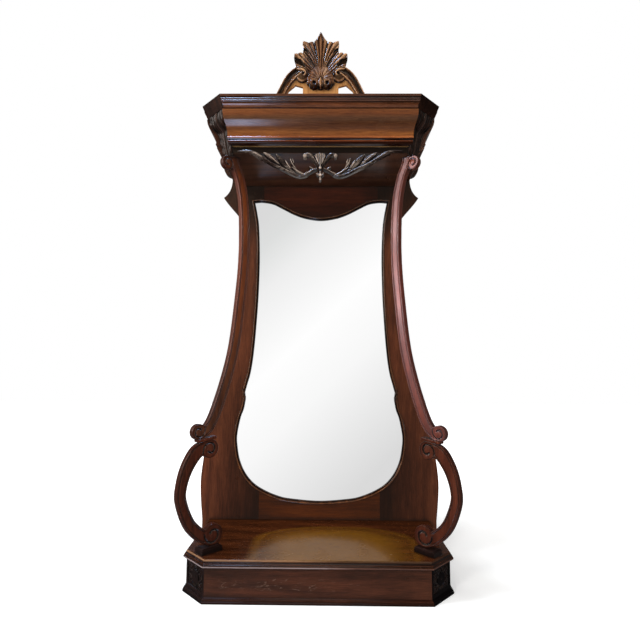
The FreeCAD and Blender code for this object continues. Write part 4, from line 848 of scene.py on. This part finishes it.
def wood(name, tones, grain, seed, rough=0.34, coat=0.1, wax_and_shade=0.85, carved=False, figure=0.7, spec=0.1,
         gloss_tint=(1.0, 0.72, 0.52), shift=None):
    """Polished wood: fibres, figure, dark pores, blotches of old polish, and old wax with painted shade in
    the corners.
    """
    s = Shader(name)
    dark, mid, light = (linear(*tone) for tone in WOODS[tones])
    place = s.place()
    turned_to = s.node("Mapping", {"Vector": place, "Location": (seed, seed * 0.7, seed * 1.3),
                                   "Rotation": tuple(math.radians(a) for a in GRAIN[grain])}).outputs[0]
    long_way = s.node("Mapping", {"Vector": turned_to, "Scale": (1.0, 11.0, 11.0)}).outputs[0]
    longer = s.node("Mapping", {"Vector": turned_to, "Scale": (1.0, 26.0, 26.0)}).outputs[0]
    bands = s.noise(long_way, 3.2, 3.0, 0.5, 1.6)
    rings = s.node("TexWave", {"Vector": long_way, "Scale": 0.9, "Distortion": 9.0, "Detail": 3.0,
                               "Detail Scale": 1.4}, bands_direction="DIAGONAL").outputs["Fac"]
    fibre = s.noise(longer, 22.0, 6.0, 0.7)
    pore = s.span(s.noise(longer, 46.0, 2.0, 0.5), 0.6, 0.68)
    tone = s.math("ADD", s.off(bands, 0.5, 0.75 * figure), s.off(rings, 0.5, 0.2 * figure))
    tone = s.math("ADD", s.math("ADD", tone, s.off(fibre, 0.5, 0.85)), 0.5)
    colour = s.ramp(tone, [(0.26, dark), (0.5, mid), (0.76, light)])
    clouds = s.noise(place, 4.5, 3.0, 0.6)
    colour = s.shaded(colour, s.span(clouds, 0.3, 0.7, 1.0 - BLOTCH, 1.0 + BLOTCH * 0.6))
    if shift:
        colour = shift(s, place, colour)
    colour = s.mix(s.times(pore, 0.5), colour, dimmed(dark, 0.35))
    # Painted shade, with old wax, where other surfaces hem a point in
    occluded = s.node("AmbientOcclusion", {"Distance": 0.011 if carved else 0.014}, samples=6)
    closed = s.math("SUBTRACT", 1.0, s.span(occluded.outputs["AO"], 0.42, 0.97))
    colour = s.mix(s.times(closed, wax_and_shade), colour, dimmed(dark, 0.12))
    # Painted shade in the grooves and painted highlights, in the light tone, on the ridges
    if carved:
        worn_and_lit = s.worn_and_lit()
        colour = s.shaded(colour, s.span(worn_and_lit, 0.0, 0.4, 0.1, 1.0))
        colour = s.mix(s.span(worn_and_lit, 0.5, 1.0, 0.0, 0.8), colour, light)
        coat = s.span(worn_and_lit, 0.08, 0.65, 0.02, coat)
    height = s.math("ADD", s.times(fibre, 0.5), s.times(pore, -0.7))
    strength = 0.04 if carved else 0.1
    bump = s.node("Bump", {"Height": height, "Strength": strength, "Distance": 0.0006}).outputs[0]
    matt = s.span(s.noise(place, 14.0, 4.0, 0.6), 0.3, 0.7, rough - 0.07, rough + 0.1)
    return s.done(s.node("BsdfPrincipled", {
        "Base Color": colour, "Roughness": matt, "Normal": bump, "Specular IOR Level": spec,
        "Specular Tint": gloss_tint + (1.0,), "Coat Weight": coat, "Coat Roughness": 0.1, "Coat IOR": 1.45,
        "Coat Tint": (1.0, 0.92, 0.84, 1.0)}))


def plain(name, colour, rough, metal=0.0):
    """A metal or a soft wood with slight unevenness."""
    s = Shader(name)
    cloud = s.noise(s.place(), 30.0, 5.0, 0.6)
    tint = s.shaded(linear(*colour), s.span(cloud, 0.3, 0.7, 0.88, 1.0))
    matt = s.span(cloud, 0.3, 0.7, rough, rough + 0.12)
    lift = s.node("Bump", {"Height": cloud, "Strength": 0.05, "Distance": 0.0005}).outputs[0]
    return s.done(s.node("BsdfPrincipled", {"Base Color": tint, "Roughness": matt, "Metallic": metal,
                                            "Normal": lift}))


def mirror_plate():
    """Silvered plate glass: clear, with a faint diagonal band of tone painted on as a reflection of the room.
    """
    s = Shader("mirror_plate")
    place = s.place()
    reflection_slant = s.math("SUBTRACT", s.times(s.along(place, "Z"), 0.72), s.times(s.along(place, "X"), 0.69))
    tone = s.ramp(s.span(reflection_slant, 0.0, 1.0), [
        (0.06, (0.7, 0.7, 0.7, 1)), (0.38, (0.935, 0.935, 0.935, 1)), (0.56, (0.995, 0.995, 0.995, 1)),
        (0.78, (0.86, 0.86, 0.86, 1)), (0.9, (0.725, 0.735, 0.73, 1)), (0.98, (0.7, 0.7, 0.7, 1))])
    return s.done(s.node("BsdfPrincipled", {"Base Color": tone, "Roughness": 0.015, "Metallic": 1.0}))


# Changes of tone over a piece, many of them painted light and shade, handed to wood(), with heights in
# millimetres where they are rows of tones

def by_height(s, place, low, high, stops, uneven=0.0):
    """Levels of the colour that change with the height: rows of height, red, green and blue, in percent."""
    height = s.along(place, "Z")
    if uneven:
        height = s.math("ADD", height, s.off(s.noise(place, 9.0, 3.0), 0.5, uneven))
    shares = (np.array(stops) / 100).tolist()
    return s.ramp(s.span(height, low * MM, high * MM), [(at, (*tone, 1.0)) for at, *tone in shares])


def height_tone(*how):
    """A change of tone with the height alone."""
    def shift(s, place, colour):
        return s.tinted(colour, by_height(s, place, *how))
    return shift


# Painted light on the ogee: painted shade under its lip, a bright painted highlight line at the lip, a golden
# painted highlight on its belly, and painted shade with a cool painted reflection in its hollow
ogee_painted_light = height_tone(OGEE_BASE, CROWN_BASE, [
    (0, 12, 8, 8), (3.5, 12, 8, 8), (5, 150, 130, 120), (9, 130, 110, 90), (13, 78, 70, 44),
    (24, 72, 66, 40), (34, 42, 38, 34), (50, 36, 36, 44), (60, 30, 36, 56), (72, 38, 38, 42),
    (80, 54, 44, 34), (100, 58, 56, 46)], 0.002)

# The top of the bead moulding has a painted highlight, and its underside is painted dark as shade
bead_mould_painted_light = height_tone(CORNICE_BASE, OGEE_BASE, [
    (0, 8, 5, 4), (45, 10, 7, 5), (62, 130, 110, 90), (85, 150, 130, 110), (100, 30, 25, 20)])

# Painted shade in the valleys between the reeds of the crown, a cool painted reflection on the reeds, and a
# lighter fascia under them
crown_painted_light = height_tone(CROWN_BASE, CANOPY_TOP, [
    (0, 110, 110, 110), (20, 145, 150, 145), (40, 145, 150, 145), (45, 40, 40, 40), (52, 85, 100, 140),
    (60, 95, 110, 150), (67, 35, 35, 40), (74, 85, 100, 140), (81, 35, 35, 40), (86, 75, 80, 82),
    (100, 85, 90, 90)])

# The edge of the soffit board, under the bead moulding, is painted near black as shade, far darker than its
# underside
soffit_painted_shade = height_tone(1275.2, 1276.5, [(0, 100, 100, 100), (100, 4, 4, 5)])

# The bead round the plate is lighter and browner low down and darker high up
bead_tone = height_tone(SIGHT_BASE, 800, [(0, 200, 170, 130), (35, 120, 110, 100), (100, 50, 50, 55)], 0.04)

# Painted light on the arms: the right arm, turned to the light, is painted pinker and paler as a sheen, most
# of all on its top volute; the left arm, turned away, is painted darker as shade low down and at its top
# volute
ARM_LOW, ARM_HIGH = 420, 1270
LEFT_ARM_LIGHT = [(0, 34, 34, 38), (20, 40, 38, 40), (52, 80, 63, 50),
            (85, 98, 72, 46), (94, 85, 60, 40), (96.5, 34, 28, 26)]
RIGHT_ARM_SHEEN = [(0, 68, 58, 80), (20, 90, 71, 105), (52, 118, 82, 108),
             (85, 100, 76, 78), (94, 96, 76, 68), (96.5, 105, 95, 88)]
right_arm_painted_sheen = height_tone(ARM_LOW, ARM_HIGH, RIGHT_ARM_SHEEN, 0.012)


def left_arm_painted_light(s, place, colour):
    """The flat of the left arm is painted paler than its edges, where light falls on it."""
    tones = by_height(s, place, ARM_LOW, ARM_HIGH, LEFT_ARM_LIGHT, 0.012)
    flat = s.tinted(tones, (1.45, 1.95, 1.9, 1.0))
    return s.tinted(colour, s.mix(s.span(s.worn_and_lit(), 0.28, 0.42), tones, flat))


RAIL_LIGHT_STOPS = [(0, 75, 70, 70), (40, 95, 75, 60), (100, 170, 160, 150)]


def rail_painted_light(s, place, colour):
    """The top rail is painted lighter high up, under the canopy, as light, and its ends are painted dark as
    shade in the corners.
    """
    tones = by_height(s, place, 1160, 1250, RAIL_LIGHT_STOPS, 0.03)
    ends = s.span(s.math("ABSOLUTE", s.along(place, "X")), 0.13, 0.24, 1.0, 0.35)
    return s.shaded(s.tinted(colour, tones), ends)


def stile_tone_and_shade(s, place, colour):
    """The stiles are lighter and redder low down at their outer edges than beside the plate; near the top,
    under the canopy and beside the plate's upper corners, they are painted darker as shade.
    """
    height = s.along(place, "Z")
    out = s.math("ABSOLUTE", s.along(place, "X"))
    uneven = s.math("ADD", out, s.off(s.noise(place, 6.0, 3.0), 0.5, 0.16))
    inner = s.times(s.span(height, 0.28, 0.62, 0.2, 1.08), s.span(height, 1.06, 1.16, 1.0, 0.22))
    shade = s.span(uneven, 0.22, 0.4, inner, 1.12)
    return s.shaded(colour, s.times(shade, s.span(height, 1.05, 1.24, 1.0, 0.3)))


def plinth_tone(s, place, colour):
    """Hazy scuffs low in the middle of the front board."""
    stretched = s.node("Mapping", {"Vector": place, "Scale": (0.45, 1.0, 1.5)}).outputs[0]
    scuff = s.span(s.noise(stretched, 70.0, 6.0, 0.75, 1.2), 0.56, 0.68)
    across = s.math("ABSOLUTE", s.math("ADD", s.along(place, "X"), 0.1))
    above = s.math("ABSOLUTE", s.math("SUBTRACT", s.along(place, "Z"), 0.046))
    near = s.times(s.span(across, 0.06, 0.24, 1.0, 0.0), s.span(above, 0.004, 0.022, 1.0, 0.0))
    return s.mix(s.times(scuff, near, 0.55), colour, linear(150, 122, 104))


SHELF_EDGE_LIGHTS = [
    # the heights of a painted line on the shelf's edge, its strength from one X to another, and its colour:
    # first a band of painted shade, stronger to the right, then a painted highlight along the top edge and a
    # cool painted highlight low on the lip
    ((0.099, 0.1005, 0.1096, 0.1101), (-0.12, 0.06, 0.3, 0.72), (26, 12, 8)),
    ((0.1055, 0.1075, 0.1094, 0.1099), (-0.1, 0.06, 0.45, 0.05), (168, 128, 96)),
    ((0.0915, 0.0925, 0.0945, 0.0955), (0.0, 0.1, 0.55, 0.08), (158, 146, 148)),
]


def shelf_tone_and_edge_light(s, place, colour):
    """The middle of the shelf is ochre, with an ochre ring round it, its ends are redder, and its front edges
    carry painted highlights and painted shade.
    """
    x, height = s.along(place, "X"), s.along(place, "Z")
    wide = s.off(x, 0.052, 1 / 0.275)
    back = s.times(s.math("MAXIMUM", s.math("ADD", s.along(place, "Y"), 0.03), 0.0), 1 / 0.15)
    wide = s.math("SQRT", s.math("ADD", s.times(wide, wide), s.times(back, back)))
    uneven = s.math("ADD", wide, s.times(s.noise(place, 5.0, 3.0), 0.25))
    ring = s.times(s.band(uneven, 0.84, 0.94, 0.96, 1.04), 0.42)
    ochre_patch = s.math("MAXIMUM", s.span(uneven, 0.62, 1.0, 0.8, 0.0), ring)
    colour = s.mix(s.times(ochre_patch, s.span(height, 0.106, 0.109)), colour, linear(114, 75, 16))
    for heights, across, tone in SHELF_EDGE_LIGHTS:
        edge_light = s.times(s.band(height, *heights), s.span(x, *across))
        colour = s.mix(edge_light, colour, linear(*tone))
    return colour


# Which piece or CAD node has which material

def dress(material, names):
    """Give a material to what a line of names lists; a star in a name stands for left and right."""
    for name in names.split():
        for hand in ("left", "right") if "*" in name else ("",):
            full_name = name.replace("*", hand)
            piece = PIECES.get(full_name) or nodes[full_name]
            piece.data.materials.clear()
            piece.data.materials.append(material)


dress(wood("plinth_x", "plinth", "x", 1.0, shift=plinth_tone), "plinth_front")
dress(wood("plinth_foot", "foot", "x", 1.6, coat=0.02), "base_moulding_front")
dress(wood("plinth_y", "cant", "y", 2.0), "plinth_side_* base_moulding_side_*")
# The right-hand cant and its moulding take the darker tones, painted as shade
dress(wood("plinth_right_in_shade", "cant_right", "right", 3.0, coat=0.02, spec=0.04),
      "plinth_cant_right base_moulding_cant_right")
dress(wood("plinth_left", "cant", "left", 4.0), "plinth_cant_left base_moulding_cant_left")
dress(wood("plinth_carved", "cant", "z", 5.0, carved=True), "carved_panel_*")
dress(wood("shelf", "shelf", "x", 6.0, rough=0.22, coat=0.16, shift=shelf_tone_and_edge_light), "shelf_board")
dress(wood("stile_right", "frame", "z", 7.0, coat=0.06, figure=0.5, shift=stile_tone_and_shade), "stile_right")
dress(wood("stile_left", "frame", "z", 8.3, coat=0.06, figure=0.5, shift=stile_tone_and_shade), "stile_left")
dress(wood("top_rail", "top_rail", "x", 9.0, coat=0.05, shift=rail_painted_light), "top_rail")
dress(wood("soffit", "soffit", "x", 9.6, coat=0.03, shift=soffit_painted_shade), "canopy_soffit")
dress(wood("bottom_rail", "bottom_rail", "x", 9.3), "bottom_rail")
dress(wood("ogee_x", "cornice", "x", 10.0, rough=0.2, coat=0.3, figure=0.35, shift=ogee_painted_light),
      "cornice_ogee_front")
dress(wood("bead_x", "cornice_bead", "x", 10.2, rough=0.22, coat=0.02, figure=0.4, shift=bead_mould_painted_light),
      "cornice_bead_front")
dress(wood("crown_x", "crown", "x", 10.5, rough=0.22, coat=0.3, figure=0.4, shift=crown_painted_light),
      "crown_moulding_front")
dress(wood("cornice_y", "cornice_sides", "y", 11.0, rough=0.26, coat=0.15, figure=0.5),
      "cornice_bead_* cornice_ogee_* crown_moulding_*")
dress(wood("crown_blocks", "crown_block", "z", 12.0, coat=0.02, spec=0.04), "crown_block_*")
dress(wood("corbels", "corbel", "z", 13.0, carved=True), "carved_corbel_*")
dress(wood("valance", "valance", "x", 14.0, carved=True, rough=0.16, coat=0.7, spec=0.05), "carved_valance")
dress(wood("crest_carved", "crest", "z", 15.0, carved=True, rough=0.2, coat=0.36, spec=0.08),
      "carved_shell carved_crest_scroll_*")
dress(wood("crest_plate", "crest_plate", "z", 16.0, rough=0.45, coat=0.0, figure=0.4, wax_and_shade=0.35),
      "crest_plate crest_foot")
dress(wood("arm_right", "arm", "z", 17.0, rough=0.36, figure=0.5, wax_and_shade=0.7, spec=0.6,
           gloss_tint=(1.0, 0.6, 0.58), carved=True, shift=right_arm_painted_sheen), "carved_upper_arm_right")
dress(wood("arm_left", "arm", "z", 17.3, rough=0.36, coat=0.08, figure=0.5, wax_and_shade=0.7, spec=0.35,
           gloss_tint=(1.0, 0.56, 0.44), carved=True, shift=left_arm_painted_light), "carved_upper_arm_left")
dress(wood("scrolls", "scroll", "z", 17.5, rough=0.3, coat=0.15, figure=0.5, wax_and_shade=0.7, spec=0.16, carved=True),
      "carved_lower_scroll_*")
dress(wood("collars", "scroll", "z", 17.6), "arm_collar_*")
dress(wood("pads", "cant", "z", 17.8), "scroll_pad_*")
dress(wood("bead", "ebonised", "z", 18.0, rough=0.22, coat=0.2, carved=True, shift=bead_tone),
      "plate_bead bead_cusp_*")
dress(wood("pine", "pine", "x", 19.0, rough=0.6, coat=0.0),
      "plinth_back plinth_blocks canopy_board_front canopy_board_* canopy_top_board backboard_blocks")
dress(wood("pine_upright", "pine", "z", 20.0, rough=0.6, coat=0.0), "mirror_backboard")
dress(plain("dowel_beech", (190, 150, 105), 0.55), "arm_dowels")
dress(plain("brass", (170, 130, 66), 0.3, metal=1.0), "wall_plates")
dress(plain("steel", (110, 106, 100), 0.35, metal=1.0), "wall_plate_screws frame_screws")
dress(mirror_plate(), "mirror_glass")


# Camera, light and studio

camera_data = bpy.data.cameras.new("camera")
camera = bpy.data.objects.new("camera", camera_data)
scene.collection.objects.link(camera)
camera_data.sensor_width = 36
camera_data.lens = 25.78
YAW, PITCH, ROLL = 0.01, 0.0954, -0.0056
EYE_X, EYE_Y, EYE_Z = 0.0153, -1.4433, 0.6349
look = Matrix.Rotation(YAW, 3, "Z") @ Matrix.Rotation(PITCH, 3, "X") @ Matrix.Rotation(ROLL, 3, "Y")
right, ahead, up = look.col
camera.matrix_world = Matrix((
    (right.x, up.x, -ahead.x, EYE_X), (right.y, up.y, -ahead.y, EYE_Y), (right.z, up.z, -ahead.z, EYE_Z),
    (0, 0, 0, 1)))
scene.camera = camera


def softbox(name, spot, aim, width, height, power, colour, shines=True):
    data = bpy.data.lights.new(name, "AREA")
    data.shape = "RECTANGLE"
    data.size = width
    data.size_y = height
    data.energy = power
    data.color = colour
    light = bpy.data.objects.new(name, data)
    scene.collection.objects.link(light)
    light.location = spot
    light.rotation_euler = (Vector(aim) - Vector(spot)).to_track_quat("-Z", "Y").to_euler()
    light.visible_camera = False
    light.visible_glossy = shines


softbox("window_left", (-2.6, -0.75, 1.75), (0, 0, 1.0), 0.8, 1.8, 90, (0.88, 0.94, 1.0))
softbox("lamp_front_left", (-1.35, -2.4, 2.2), (0, 0, 1.0), 0.45, 0.45, 20, (1.0, 0.98, 0.95))
softbox("lamp_front_right", (1.5, -2.3, 2.0), (0, 0, 1.0), 0.35, 0.35, 9, (1.0, 0.96, 0.9))
softbox("fill", (-0.9, -3.1, 1.5), (0, 0, 0.8), 2.4, 1.6, 24, (1.0, 0.98, 0.95), shines=False)
softbox("overhead", (0.0, -1.0, 3.2), (0, 0, 0.9), 2.0, 0.8, 27, (1.0, 0.99, 0.97))

# What polish reflects of the room: a white wall in front, dimness round it, and a cool window low on the left
world = bpy.data.worlds.new("studio")
scene.world = world
s = Shader("studio", world)
way = s.node("SeparateXYZ", {"Vector": s.node("TexCoord").outputs["Generated"]}).outputs
level_off = s.span(s.math("ABSOLUTE", way["Z"]), 0.42, 0.62, 1.0, 0.35)
wall = s.times(s.span(way["Y"], -0.2, -0.7, 0.16, 1.0), level_off)
steep = s.math("DIVIDE", way["Z"], s.times(way["Y"], -1.0))
rays, seen = s.light_path()
pane = s.times(s.band(way["X"], -0.215, -0.195, -0.155, -0.095), s.span(steep, -0.56, -0.74),
               rays["Is Glossy Ray"], 24.0)
polish = s.node("Mix", {"Factor": rays["Is Glossy Ray"], "A": 0.42, "B": wall}, data_type="FLOAT")
level = s.node("Mix", {"Factor": seen, "A": polish.outputs["Result"], "B": 1.0}, data_type="FLOAT")
plain_light = s.node("Background", {"Color": (1, 1, 1, 1), "Strength": level.outputs["Result"]}).outputs[0]
cool_light = s.node("Background", {"Color": (0.46, 0.64, 1.0, 1), "Strength": pane}).outputs[0]
s.done(s.node("AddShader", {0: plain_light, 1: cool_light}))

FLOOR_REACH, FLOOR_DROP = 6.0, 0.0005
floor_mesh = bpy.data.meshes.new("floor")
floor_mesh.from_pydata([(x * FLOOR_REACH, y * FLOOR_REACH, -FLOOR_DROP)
                        for x, y in ((-1, -1), (1, -1), (1, 1), (-1, 1))], [], [(0, 1, 2, 3)])
floor = bpy.data.objects.new("floor", floor_mesh)
scene.collection.objects.link(floor)
s = Shader("floor")
place = s.place()
across, back = s.along(place, "X"), s.along(place, "Y")
away = s.math("SQRT", s.math("ADD", s.times(across, across), s.times(back, back)))
glow = s.times(s.light_path()[1], s.span(s.span(away, 0.55, 1.5), 0.0, 1.0, 0.3, 1.0))
paint = s.node("BsdfDiffuse", {"Color": (0.82, 0.82, 0.82, 1)}).outputs[0]
shine = s.node("Emission", {"Color": (1, 1, 1, 1), "Strength": glow}).outputs[0]
floor_mesh.materials.append(s.done(s.node("AddShader", {0: paint, 1: shine})))

# What stands in front of the plate isn't mirrored in it: in the photograph it shows only pale light
SHOWN_IN_POLISH = ("stile_left", "stile_right", "top_rail", "bottom_rail", "plate_bead", "mirror_glass",
                   "mirror_backboard")
for name, piece in [*nodes.items(), *PIECES.items()]:
    if name not in SHOWN_IN_POLISH:
        piece.visible_glossy = False
floor.visible_glossy = False
